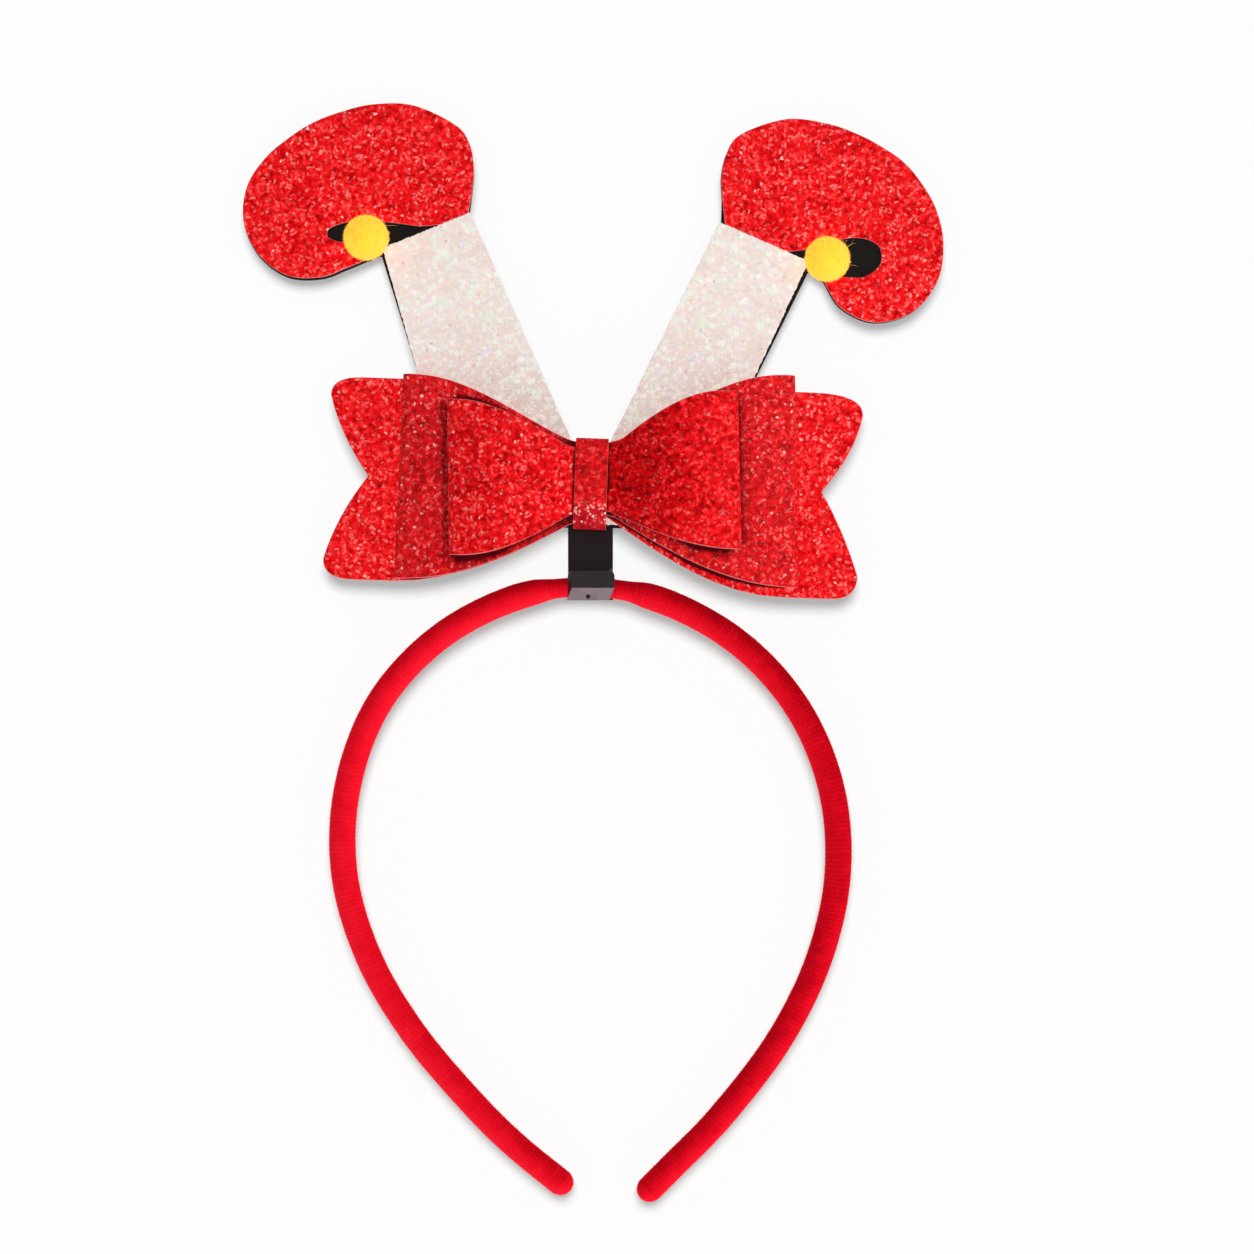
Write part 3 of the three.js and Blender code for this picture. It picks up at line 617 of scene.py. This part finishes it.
def flat_copy(node, name, edge_round):
    """A copy of a flat CAD sheet with its faces made whole and its cut edges rounded."""
    piece = copy_of(node, name)
    scene.tool_settings.mesh_select_mode = (False, True, False)
    bpy.ops.object.mode_set(mode="EDIT")
    bpy.ops.mesh.select_all(action="SELECT")
    bpy.ops.mesh.dissolve_limited(angle_limit=FLAT_ANGLE)
    bpy.ops.mesh.select_all(action="DESELECT")
    bpy.ops.mesh.edges_select_sharp(sharpness=CUT_EDGE_ANGLE)
    bpy.ops.mesh.bevel(offset=edge_round, segments=2, affect="EDGES")
    bpy.ops.object.mode_set(mode="OBJECT")
    return piece


def lay_out(piece):
    """Gives a piece a UV map in metres, seen square on from the nearest of its sides."""
    activate(piece)
    bpy.ops.object.mode_set(mode="EDIT")
    bpy.ops.mesh.select_all(action="SELECT")
    bpy.ops.uv.cube_project(cube_size=1.0, correct_aspect=False)
    bpy.ops.object.mode_set(mode="OBJECT")


backing = flat_copy("legs_backing", "legs_backing_foam", FOAM_ROUND)
scene.tool_settings.mesh_select_mode = (False, False, True)
pick_faces(backing, lambda middle, normal: abs(normal.z) < 0.5)
bpy.ops.transform.shrink_fatten(value=-FOAM_TRIM)
bpy.ops.object.mode_set(mode="OBJECT")
foam, foam_shader, foam_place = new_finish("black_foam", "Object")
pores = foam_place.node("TexVoronoi", {}, {"Vector": foam_place, "Scale": 2600.0})
foam_tone = noise(foam_place, 420.0, 3.0)
blend_colours(foam_tone, (0.001, 0.0008, 0.001), (0.008, 0.007, 0.0075)).into(foam_shader, "Base Color")
bump(ease(pores, 0.05, 0.5), 0.00012).into(foam_shader, "Normal")
foam_shader.inputs["Roughness"].default_value = 0.8
foam_shader.inputs["Specular IOR Level"].default_value = 0.2
backing.data.materials.append(foam)
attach(backing, "root")
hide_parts("legs_backing")


# The legs are white glitter sheet, cut by hand with a slightly ragged edge and glued to the foam.
# The sheet is a pinkish cloth thick with pearly flakes, mint, pink, lilac and white, and a few bright ones.
# Towards the bow the cloth is painted greyer, a painted shade, and white specks over it all are painted
# glints, brighter towards the bow.
LEG_ROUND = 0.00008
LEG_RAGGED = 0.0003
LEG_EDGE_CUTS = 70
LEG_LONG_EDGE = 0.008
LEVEL = 0.000001
LEG_SEEDS = {"left": 21, "right": 22}
LEG_CLOTH = (0.87, 0.73, 0.665)
LEG_CLOTH_PALE = (0.90, 0.79, 0.73)
LEG_PAINTED_SHADE = (0.60, 0.62, 0.53)
LEG_PAINTED_GLINT = (0.95, 0.98, 0.90)
SPECKS_PER_METRE = 1300.0


def ragged_copy(node, name, seed):
    """A copy of a flat CAD sheet whose outline wavers finely, as scissors leave it."""
    piece = flat_copy(node, name, LEG_ROUND)
    scene.tool_settings.mesh_select_mode = (False, True, False)
    pick_edges(piece, lambda a, b: abs(a.z - b.z) < LEVEL and (a - b).length > LEG_LONG_EDGE)
    bpy.ops.mesh.subdivide(number_cuts=LEG_EDGE_CUTS)
    bpy.ops.object.mode_set(mode="OBJECT")
    heights = corners_of(piece.data)[:, 2]
    bpy.ops.object.mode_set(mode="EDIT")
    bpy.ops.transform.vertex_random(offset=LEG_RAGGED, seed=seed)
    bpy.ops.object.mode_set(mode="OBJECT")
    places = corners_of(piece.data)
    places[:, 2] = heights
    piece.data.vertices.foreach_set("co", places.ravel())
    piece.data.update()
    return piece


def flakes(place, per_metre, shift, share, size):
    """Scattered flakes of uneven outline: 1 inside each and 0 outside, and the random colour of each."""
    drift = noise(place, 1.6 * per_metre, 1.0).other("Color")
    drift = place.node("VectorMath", {"operation": "SCALE"}, {"Vector": drift, "Scale": 0.7 / per_metre})
    moved = place.node("VectorMath", {"operation": "ADD"}, [place, (shift, 0.6 * shift, 0.0)])
    moved = place.node("VectorMath", {"operation": "ADD"}, [moved, drift])
    cell = moved.node("TexVoronoi", {"voronoi_dimensions": "2D"}, {"Vector": moved, "Scale": per_metre})
    chance = cell.other("Color").node("SeparateColor", {}, [cell.other("Color")])
    shown = ease(chance.other("Red"), share + 0.02, share - 0.02)
    return shown * ease(cell, size, 0.6 * size), chance


def tilted(shader, cell_colour, amount):
    """Tilts the surface at random from flake to flake, so that some catch the light."""
    surface = cell_colour.node("NewGeometry", {}, [], "Normal")
    centred = surface.node("VectorMath", {"operation": "SUBTRACT"}, [cell_colour, (0.5, 0.5, 0.5)])
    shift = surface.node("VectorMath", {"operation": "MULTIPLY"}, [centred, (amount, amount, amount)])
    leaning = surface.node("VectorMath", {"operation": "ADD"}, [surface, shift])
    leaning.node("VectorMath", {"operation": "NORMALIZE"}, [leaning]).into(shader, "Normal")


white, white_shader, white_place = new_finish("white_glitter", "UV")
white_cloud = noise(white_place, 170.0, 3.0)
along_leg = white_place.other("Object").node("SeparateXYZ", {}, [white_place.other("Object")], "Y")
cloth = blend_colours(ease(white_cloud, 0.3, 0.7), LEG_CLOTH, LEG_CLOTH_PALE)
# Towards the bow the cloth turns grey, a painted shade.
cloth = blend_colours(ease(along_leg, 0.078, 0.048) * 0.6, cloth, LEG_PAINTED_SHADE)
pale_mask, pale_chance = flakes(white_place, 760.0, 0.0, 0.6, 0.66)
pale_stops = [
    (0.0, (0.95, 0.96, 0.86)),
    (0.35, (0.78, 0.94, 0.77)),
    (0.6, (0.95, 0.70, 0.72)),
    (0.8, (0.84, 0.80, 0.90)),
    (1.0, (0.98, 0.98, 0.96)),
]
pale = pale_chance.other("Green").node("ValToRGB", {"stops": pale_stops}, [pale_chance.other("Green")])
glinting_speck_mask = flakes(white_place, SPECKS_PER_METRE, 0.37, 0.22, 0.5)[0]
bright_mask, bright_chance = flakes(white_place, 900.0, 0.71, 0.03, 0.4)
bright_stops = [
    (0.0, (0.85, 0.10, 0.42)),
    (0.4, (0.90, 0.35, 0.75)),
    (0.7, (0.30, 0.62, 0.90)),
    (0.9, (0.95, 0.50, 0.18)),
]
bright = bright_chance.other("Blue").node("ValToRGB", {"stops": bright_stops}, [bright_chance.other("Blue")])
pearly = blend_colours(pale_mask * ease(white_cloud, 0.2, 0.6) * 0.9, cloth, pale)
# The white specks are painted glints, brighter towards the bow.
painted_sparkle = ease(along_leg, 0.090, 0.062) * 0.45 + 0.4
pearly = blend_colours(glinting_speck_mask * painted_sparkle, pearly, LEG_PAINTED_GLINT)
blend_colours(bright_mask * 0.6, pearly, bright).into(white_shader, "Base Color")
(0.55 - glinting_speck_mask * 0.35).into(white_shader, "Roughness")
speck_cells = {"Vector": white_place, "Scale": SPECKS_PER_METRE}
white_cells = white_place.node("TexVoronoi", {"voronoi_dimensions": "2D"}, speck_cells)
tilted(white_shader, white_cells.other("Color"), 0.25)
white_shader.inputs["Specular IOR Level"].default_value = 0.2

for side in ("left", "right"):
    leg = ragged_copy("leg_" + side, "leg_" + side + "_sheet", LEG_SEEDS[side])
    lay_out(leg)
    leg.data.materials.append(white)
    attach(leg, "root")
    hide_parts("leg_" + side)


# The shoes are red glitter sheet, cut with a curled toe and a notch before the ankle, and glued to the foam.
# The sheet is covered in bent strokes of glitter, from deep red to pink, the pink dashes being painted
# highlights, and spots painted as glints that glow a little.
SHOE_ROUND = 0.00016
CURLS_PER_METRE = (430.0, 540.0, 670.0)
CURL = (0.55, 0.17, 0.2)
DASHES_PER_METRE = (420.0, 520.0, 640.0)
DASH = (0.27, 0.16, 0.5)
WEAVE_PITCH = 0.0008
GLITTER_REDS = [
    (0.0, (0.24, 0.0001, 0.001)),
    (0.25, (0.50, 0.0006, 0.0025)),
    (0.5, (0.76, 0.0035, 0.0065)),
    (0.75, (0.97, 0.012, 0.014)),
    (1.0, (1.0, 0.06, 0.06)),
]
DULL_SHADED_RED = (0.42, 0.035, 0.042)
PAINTED_DASH_HIGHLIGHT = (1.0, 0.25, 0.235)
PAINTED_GLINT_PINK = (1.0, 0.50, 0.46)
PAINTED_GLINT_GLOW = 0.3
SHADED_RED = (0.08, 0.0, 0.002)
KNOT_CRIMSON = (0.34, 0.001, 0.013)
# How open a sheet's vertices lie sets its painted shade between the bow's layers: weaker near the knot,
# deeper far to the right.
OPEN_RAYS = 20
OPEN_REACH = 0.005
OPEN_LIFT = 0.00008
OPEN_SEED = 41
OPEN_FROM = 0.012
OPEN_FULL = 0.022
OPEN_LEAST = 0.6
OPEN_RIGHT = 1.15


def strokes(place, per_metre, shift, shape):
    """Short bent strokes, one to a cell: 1 inside each and 0 outside, and a random value for each."""
    half_length, half_width, tightest = shape
    moved = place.node("VectorMath", {"operation": "ADD"}, [place, (shift, 0.7 * shift, 0.0)])
    cell = moved.node("TexVoronoi", {"voronoi_dimensions": "2D"}, {"Vector": moved, "Scale": per_metre})
    chance = cell.other("Color").node("SeparateColor", {}, [cell.other("Color")])
    local = moved.node("VectorMath", {"operation": "SUBTRACT"}, [moved, cell.other("Position")])
    turn = {"Vector": local, "Angle": chance.other("Red") * math.tau}
    turned = local.node("VectorRotate", {"rotation_type": "Z_AXIS"}, turn)
    parts = turned.node("SeparateXYZ", {}, [turned])
    radius = chance.other("Green") * 2.0 * tightest + tightest
    x = parts.other("X") * per_metre
    y = parts.other("Y") * per_metre + radius
    off = x.math("SQRT", x * x + y * y) - radius
    along = x.math("ARCTAN2", x, y) * radius
    ends = ease(along.math("ABSOLUTE", along), half_length, 0.7 * half_length)
    sides = ease(off.math("ABSOLUTE", off), half_width, 0.4 * half_width)
    return ends * sides, chance.other("Blue")


def red_glitter_finish(name, tone, painted_sparkle, dull=0.0, right_lit_share=1.0, glints=None):
    """Red glitter sheet: soft curls from deep to bright red, with short pink dashes as painted highlights and
    a few spots as painted glints, which glow a little. A dull one shows its cloth's weave and is greyed, a
    painted shade.
    The right lit share is how much painted glinting the part right of the knot keeps; the less, the deeper
    its painted shade. Between its glints' two heights it is thick with bright flakes painted as glints, and
    below the upper one crimson. Where it lies little open it is painted in deep shade."""
    material, shader, place = new_finish(name, "UV")
    spot = place.other("Object").node("SeparateXYZ", {}, [place.other("Object")])
    right = ease(spot.other("X"), -0.002, 0.006)
    level = (noise(place, 700.0, 2.0) - 0.5) * 1.4 + (noise(place, 180.0, 2.0) - 0.5) * 0.5 + tone
    # Right of the knot the sheet is painted darker, a painted shade, as far as its lit share falls short of
    # 1.
    level = level - right * ease(spot.other("X"), 0.034, 0.012) * (0.25 * (1 - right_lit_share))
    for i, per_metre in enumerate(CURLS_PER_METRE):
        inside, chance = strokes(place, per_metre, 0.37 * i, CURL)
        level = level + inside * (chance * 0.55 - 0.17)
    if dull:
        parts = place.node("SeparateXYZ", {}, [place])
        rise = (parts.other("X") + parts.other("Y")) * (math.tau / WEAVE_PITCH)
        fall = (parts.other("X") - parts.other("Y")) * (math.tau / WEAVE_PITCH)
        level = level + rise.math("SINE", rise) * 0.09 + fall.math("SINE", fall) * 0.06
    # A dull sheet's reds are greyed and darkened towards the dull shaded red, a painted shade.
    stops = []
    for share, colour in GLITTER_REDS:
        stops.append((share, [(1 - dull) * bright + dull * grey for bright, grey in zip(colour, DULL_SHADED_RED)]))
    red = level.node("ValToRGB", {"stops": stops}, [level])
    layers = []
    for i, per_metre in enumerate(DASHES_PER_METRE):
        inside, chance = strokes(place, per_metre, 1.9 + 0.43 * i, DASH)
        layers.append(inside * chance ** 2.4)
    dashes = layers[0].math("MAXIMUM", layers[0], layers[1].math("MAXIMUM", layers[1], layers[2]))
    # The spots and the pink dashes are painted highlights, and the spots also glow a little.
    painted_glints, dot_chance = flakes(place, 620.0, 1.31, 0.12, 0.22)
    shown = (1 - right * (1 - right_lit_share)) * painted_sparkle
    painted_glints = painted_glints * dot_chance.other("Green") * shown
    red = blend_colours(dashes * ease(level, 0.0, 0.55) * shown, red, PAINTED_DASH_HIGHLIGHT)
    if glints:
        low, high = glints
        band = ease(spot.other("Y"), high, high - 0.002) * ease(spot.other("Y"), low, low + 0.001)
        red = blend_colours(ease(spot.other("Y"), high, high - 0.004) * 0.5, red, KNOT_CRIMSON)
        # The glints are painted highlights where the knot bends over the bow's foot.
        glint, glint_chance = flakes(place, 1500.0, 2.17, 0.5, 0.55)
        painted_glints = painted_glints.math("MAXIMUM", painted_glints, band * glint * glint_chance.other("Green"))
    red = blend_colours(painted_glints, red, PAINTED_GLINT_PINK)
    # Where a sheet lies little open, between the bow's layers, it is painted in deep shade, with a ragged
    # edge.
    uneven = noise(place, 1100.0, 1.0) - 0.5
    open_share = place.node("Attribute", {"attribute_name": "open"}, [], "Fac") + uneven * 0.3
    lit = ease(open_share, 0.5, 0.9)
    blend_colours(lit, SHADED_RED, red).into(shader, "Base Color")
    # The painted glints also glow a little, a painted glow.
    blend_colours(painted_glints * lit, (0.0, 0.0, 0.0), PAINTED_GLINT_PINK).into(shader, "Emission Color")
    shader.inputs["Emission Strength"].default_value = PAINTED_GLINT_GLOW
    (0.6 - dashes * 0.25).into(shader, "Roughness")
    bump(noise(place, 2400.0, 1.0), 0.00004).into(shader, "Normal")
    shader.inputs["Specular IOR Level"].default_value = 0.04
    return material


def edge_finish(name):
    """The cut edge of the red sheet, where its pink cloth shows under the glitter."""
    material, shader, place = new_finish(name, "Object")
    fray = noise(place, 2400.0, 2.0)
    blend_colours(fray, (0.62, 0.06, 0.065), (0.95, 0.38, 0.37)).into(shader, "Base Color")
    bump(fray, 0.0001).into(shader, "Normal")
    shader.inputs["Roughness"].default_value = 0.9
    return material


def back_finish(name):
    """The back of the red sheet, a plain red felt."""
    material, shader, place = new_finish(name, "Object")
    felt = noise(place, 1500.0, 4.0)
    blend_colours(felt, (0.30, 0.003, 0.008), (0.62, 0.018, 0.026)).into(shader, "Base Color")
    bump(felt, 0.0002).into(shader, "Normal")
    shader.inputs["Roughness"].default_value = 0.95
    return material


glitter = red_glitter_finish("red_glitter", 0.53, 0.9)
sheet_edge = edge_finish("red_sheet_edge")
sheet_back = back_finish("red_sheet_back")


def dress_sheet(piece, front, kind):
    """Puts the glitter, the edge's and the back's finish on a sheet. kind tells a face's side: 0, 1 or 2."""
    for material in (front, sheet_edge, sheet_back):
        piece.data.materials.append(material)
    piece.data.polygons.foreach_set("material_index", [kind(face) for face in piece.data.polygons])
    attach(piece, "root")


def set_open(piece, blockers=(), reach=OPEN_REACH, leans=(0.0, 0.0)):
    """Stores how open each vertex of a sheet lies, for its painted shade: from 0 deep between pieces to 1
    with nothing beside it.
    The leans, left and right, turn its view towards the bow's middle, where other pieces lie over it."""
    mesh = piece.data
    places = corners_of(mesh)
    shares = np.ones(len(places))
    if blockers:
        corners, faces = [], []
        for blocker in blockers:
            faces += [[len(corners) + v for v in face.vertices] for face in blocker.data.polygons]
            corners += [vertex.co for vertex in blocker.data.vertices]
        tree = BVHTree.FromPolygons(corners, faces)
        draw = np.random.default_rng(OPEN_SEED)
        aims = unit(draw.normal(size=(OPEN_RAYS, 3)))
        bow_middle = sum(corner[1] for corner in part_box("bow_knot")) / 2
        for i, vertex in enumerate(mesh.vertices):
            start = vertex.co + vertex.normal * OPEN_LIFT
            inwards = Vector((0, math.copysign(leans[vertex.co.x > 0], bow_middle - vertex.co.y), 0))
            rays = [Vector(aim) + vertex.normal * 1.01 + inwards for aim in aims]
            shares[i] = sum(tree.ray_cast(start, ray, reach)[0] is None for ray in rays) / OPEN_RAYS
    away = np.clip((np.abs(places[:, 0]) - OPEN_FROM) / (OPEN_FULL - OPEN_FROM), OPEN_LEAST, 1)
    deeper = np.where(places[:, 0] > OPEN_FULL, OPEN_RIGHT, 1)
    opened = mesh.attributes.new("open", "FLOAT", "POINT")
    opened.data.foreach_set("value", 1 - (1 - shares) * away * deeper)


def flat_side(face):
    """A flat sheet's glitter side faces up, its back down and its cut edge sideways."""
    if abs(face.normal.z) < 0.5:
        return 1
    return 0 if face.normal.z > 0 else 2


for side in ("left", "right"):
    shoe = flat_copy("shoe_" + side, "shoe_" + side + "_sheet", SHOE_ROUND)
    lay_out(shoe)
    set_open(shoe)
    dress_sheet(shoe, glitter, flat_side)
    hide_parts("shoe_" + side)


# The pompoms are balls of short yellow pile, one glued over the tip of each shoe's toe.
# A soft core carries thousands of fine fibres, each leaning its own way, and a few long hairs stray from it.
POMPOM_CORE = 0.91
POMPOM_LUMP = 0.0012
POMPOM_LUMP_RISE = 0.0003
POMPOM_BARE = 0.0003
POMPOM_REACH = (0.93, 1.04)
POMPOM_LONG_SHARE = 0.07
POMPOM_LONG_EXTRA = 0.06
POMPOM_LEAN = 0.10
POMPOM_BEND = 0.00008
POMPOM_PAINTED_GLOW = 0.25
POMPOM_FIBRES_PER_SQUARE_METRE = 2.0e7
POMPOM_FIBRE_THICKNESS = 0.00005
POMPOM_SEEDS = {"left": 31, "right": 32}
STRAY_HAIRS = 9
STRAY_ROOT = 0.95
STRAY_RISE = 0.2
STRAY_TURN = 0.9
STRAY_BEND = 0.0002
STRAY_LENGTH = (0.0016, 0.0036)
STRAY_THICKNESS = 0.00003


def pompom_finish(name):
    """Yellow pile, a little more orange between its locks and where it faces the shoes, a painted shade, with
    a painted glow over it all.
    """
    material, shader, place = new_finish(name, "Object")
    # Where the pile faces the shoes it is painted more orange, a painted shade.
    painted_shade_facing = place.other("Normal").node("SeparateXYZ", {}, [place.other("Normal")], "Y")
    lock = noise(place, 620.0, 3.0)
    level = ease((lock - 0.5) * 0.7 + 0.55 - painted_shade_facing * 0.2, 0.05, 0.95)
    stops = [
        (0.0, (1.0, 0.48, 0.021)),
        (0.5, (1.0, 0.56, 0.036)),
        (1.0, (1.0, 0.64, 0.065)),
    ]
    yellow = level.node("ValToRGB", {"stops": stops}, [level])
    yellow.into(shader, "Base Color")
    # The pile's own yellow also glows, a painted glow that brightens it.
    yellow.into(shader, "Emission Color")
    shader.inputs["Emission Strength"].default_value = POMPOM_PAINTED_GLOW
    shader.inputs["Roughness"].default_value = 0.9
    shader.inputs["Specular IOR Level"].default_value = 0.0
    shader.inputs["Subsurface Weight"].default_value = 0.5
    shader.inputs["Subsurface Radius"].default_value = (1.0, 0.8, 0.2)
    shader.inputs["Subsurface Scale"].default_value = 0.002
    shader.inputs["Sheen Weight"].default_value = 0.6
    shader.inputs["Sheen Tint"].default_value = (1.0, 0.85, 0.3, 1.0)
    return material


pile_yellow = pompom_finish("yellow_pile")
pompom_pieces = []
for side in ("left", "right"):
    ball_low, ball_high = (np.array(corner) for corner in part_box("pompom_" + side))
    ball_radius = (ball_high - ball_low)[:2].mean() / 2
    ball_middle = np.array([*((ball_low + ball_high) / 2)[:2], ball_high[2] - ball_radius])
    bpy.ops.object.select_all(action="DESELECT")
    core_radius = ball_radius * POMPOM_CORE
    bpy.ops.mesh.primitive_ico_sphere_add(subdivisions=5, radius=core_radius, location=ball_middle)
    ball = bpy.context.object
    ball.name = "pompom_" + side + "_core"
    bpy.ops.object.transform_apply(location=True, rotation=True, scale=True)
    bpy.ops.object.mode_set(mode="EDIT")
    bpy.ops.mesh.select_all(action="SELECT")
    bpy.ops.mesh.bisect(plane_co=(0, 0, ball_low[2]), plane_no=(0, 0, -1), use_fill=True, clear_outer=True)
    bpy.ops.object.mode_set(mode="OBJECT")
    lumps = bpy.data.textures.new("pompom_lumps_" + side, "CLOUDS")
    lumps.noise_scale = POMPOM_LUMP
    uneven = ball.modifiers.new("lumps", "DISPLACE")
    uneven.texture = lumps
    uneven.texture_coords = "LOCAL"
    uneven.strength = POMPOM_LUMP_RISE
    bpy.ops.object.modifier_apply(modifier="lumps")
    bpy.ops.object.shade_smooth()

    root, _, draw = scatter(ball.data, POMPOM_FIBRES_PER_SQUARE_METRE, POMPOM_SEEDS[side])
    root = root[root[:, 2] > ball_low[2] + POMPOM_BARE]
    outwards = unit(root - ball_middle)
    reach = draw.uniform(*POMPOM_REACH, (len(root), 1)) * ball_radius
    reach += POMPOM_LONG_EXTRA * ball_radius * (draw.random(reach.shape) < POMPOM_LONG_SHARE)
    tip = ball_middle + unit(outwards + POMPOM_LEAN * draw.normal(size=root.shape)) * reach
    middle = (root + tip) / 2 + POMPOM_BEND * draw.normal(size=root.shape)
    tip[:, 2] = np.maximum(tip[:, 2], ball_low[2])
    tuft = fibres("pompom_" + side + "_pile", [root, middle, tip], POMPOM_FIBRE_THICKNESS)
    turn = draw.uniform(0, math.tau, (STRAY_HAIRS, 1))
    aside = turn + draw.uniform(-STRAY_TURN, STRAY_TURN, turn.shape)
    hair_out = np.hstack([np.cos(turn), np.sin(turn), STRAY_RISE + 0 * turn])
    hair_root = ball_middle + STRAY_ROOT * ball_radius * hair_out
    hair_run = draw.uniform(*STRAY_LENGTH, turn.shape) * np.hstack([np.cos(aside), np.sin(aside), 0 * turn])
    hair_bow = STRAY_BEND * draw.normal(size=hair_root.shape)
    hair_levels = [hair_root, hair_root + hair_run / 2 + hair_bow, hair_root + hair_run]
    hairs = fibres("pompom_" + side + "_hairs", hair_levels, STRAY_THICKNESS)

    for piece in (ball, tuft, hairs):
        piece.data.materials.clear()
        piece.data.materials.append(pile_yellow)
        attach(piece, "root")
    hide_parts("pompom_" + side)
    pompom_pieces += [ball, tuft, hairs]


# The bow's tails are one flat piece of the same red sheet with a swallow cut at each end, behind the loops.
# They hang from the knot and droop a little towards their ends. A fine grid of cuts holds the loops' painted
# shade.
TAILS_ROUND = 0.00028
TAILS_CUT = 0.0006
tails = flat_copy("bow_tails", "bow_tails_sheet", TAILS_ROUND)
tails_low, tails_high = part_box("bow_tails")
bpy.ops.object.mode_set(mode="EDIT")
for axis, normal in ((0, (1, 0, 0)), (1, (0, 1, 0))):
    for along in np.arange(tails_low[axis] + TAILS_CUT, tails_high[axis], TAILS_CUT):
        bpy.ops.mesh.select_all(action="SELECT")
        bpy.ops.mesh.bisect(plane_co=[along * part for part in normal], plane_no=normal)
bpy.ops.object.mode_set(mode="OBJECT")
lay_out(tails)
dress_sheet(tails, glitter, flat_side)
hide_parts("bow_tails")


# The bow's two loops are strips of red sheet closed into rings, pinched at the knot and folded at both sides.
# The large one lies on the tails and the small one on it. Each keeps its back, of plain felt, on the inside.
LOOP_ROUND = 0.00018
LOOP_BEND_ANGLE = math.radians(60)
SHEET_SMOOTH_ANGLE = math.radians(40)
RAY_START = 0.00002
# The loops' glitter is painted darker than the shoes', a painted shade, the large one's darker and greyer
# still, with its weave showing; the small one's part right of the knot is painted darker again, with fewer
# painted glints.
dull_shaded_glitter = red_glitter_finish("red_glitter_dull_shaded", 0.40, 0.7, dull=0.12)
front_glitter = red_glitter_finish("red_glitter_front", 0.44, 0.85, right_lit_share=0.4)


def loop_side(piece):
    """Tells a loop's faces apart: cut edges, the inside, which looks at itself, and the glitter side."""
    ahead = BVHTree.FromObject(piece, bpy.context.evaluated_depsgraph_get())

    def side_of(face):
        if abs(face.normal.y) > 0.6:
            return 1
        hit = ahead.ray_cast(face.center + face.normal * RAY_START, face.normal)
        return 0 if hit[0] is None else 2

    return side_of


loops = []
for size, front in (("large", dull_shaded_glitter), ("small", front_glitter)):
    loop = copy_of("bow_loop_" + size, "bow_loop_" + size + "_sheet")
    scene.tool_settings.mesh_select_mode = (False, True, False)
    bpy.ops.object.mode_set(mode="EDIT")
    bpy.ops.mesh.select_all(action="SELECT")
    bpy.ops.mesh.tris_convert_to_quads(face_threshold=math.pi, shape_threshold=math.pi)
    bpy.ops.mesh.select_all(action="DESELECT")
    bpy.ops.mesh.edges_select_sharp(sharpness=LOOP_BEND_ANGLE)
    bpy.ops.mesh.bevel(offset=LOOP_ROUND, segments=2, affect="EDGES")
    bpy.ops.object.mode_set(mode="OBJECT")
    rounder = loop.modifiers.new("rounder", "SUBSURF")
    rounder.levels = 2
    rounder.render_levels = 2
    bpy.ops.object.modifier_apply(modifier="rounder")
    bpy.ops.object.shade_smooth_by_angle(angle=SHEET_SMOOTH_ANGLE)
    lay_out(loop)
    loops.append(loop)
    dress_sheet(loop, front, loop_side(loop))
    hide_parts("bow_loop_" + size)


# The knot is a strap of red sheet wound once round the bow's middle and glued behind, pinching every layer.
# Its glitter is dull and painted darker in front, and crimson with bright painted glints where it bends over
# the bow's foot. The painted shade between the bow's layers follows, and the high pieces are kept out of the
# table's shadow.
KNOT_ROUND = 0.00015
KNOT_GLINTS = (0.0303, 0.0362)
LOOP_LEANS = ((0.5, 0.0), (0.0, 0.0))
TAILS_LEANS = (1.0, 1.0)
TAILS_REACH = 0.0012
knot_glitter = red_glitter_finish("red_glitter_knot", 0.36, 0.35, dull=0.12, glints=KNOT_GLINTS)
knot = flat_copy("bow_knot", "bow_knot_strap", KNOT_ROUND)
bpy.ops.object.shade_smooth_by_angle(angle=SHEET_SMOOTH_ANGLE)
lay_out(knot)
set_open(knot)
for loop, leans in zip(loops, LOOP_LEANS):
    set_open(loop, [*loops, knot], leans=leans)
set_open(tails, loops, reach=TAILS_REACH, leans=TAILS_LEANS)
dress_sheet(knot, knot_glitter, lambda face: 1 if abs(face.normal.x) > 0.6 else 0)
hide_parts("bow_knot")
high_pieces = bpy.data.collections.new("high_pieces")
for piece in (*loops, knot, *pompom_pieces, clip):
    high_pieces.objects.link(piece)
for item in high_pieces.collection_objects:
    item.light_linking.link_state = "EXCLUDE"
shadow_lamp.light_linking.blocker_collection = high_pieces
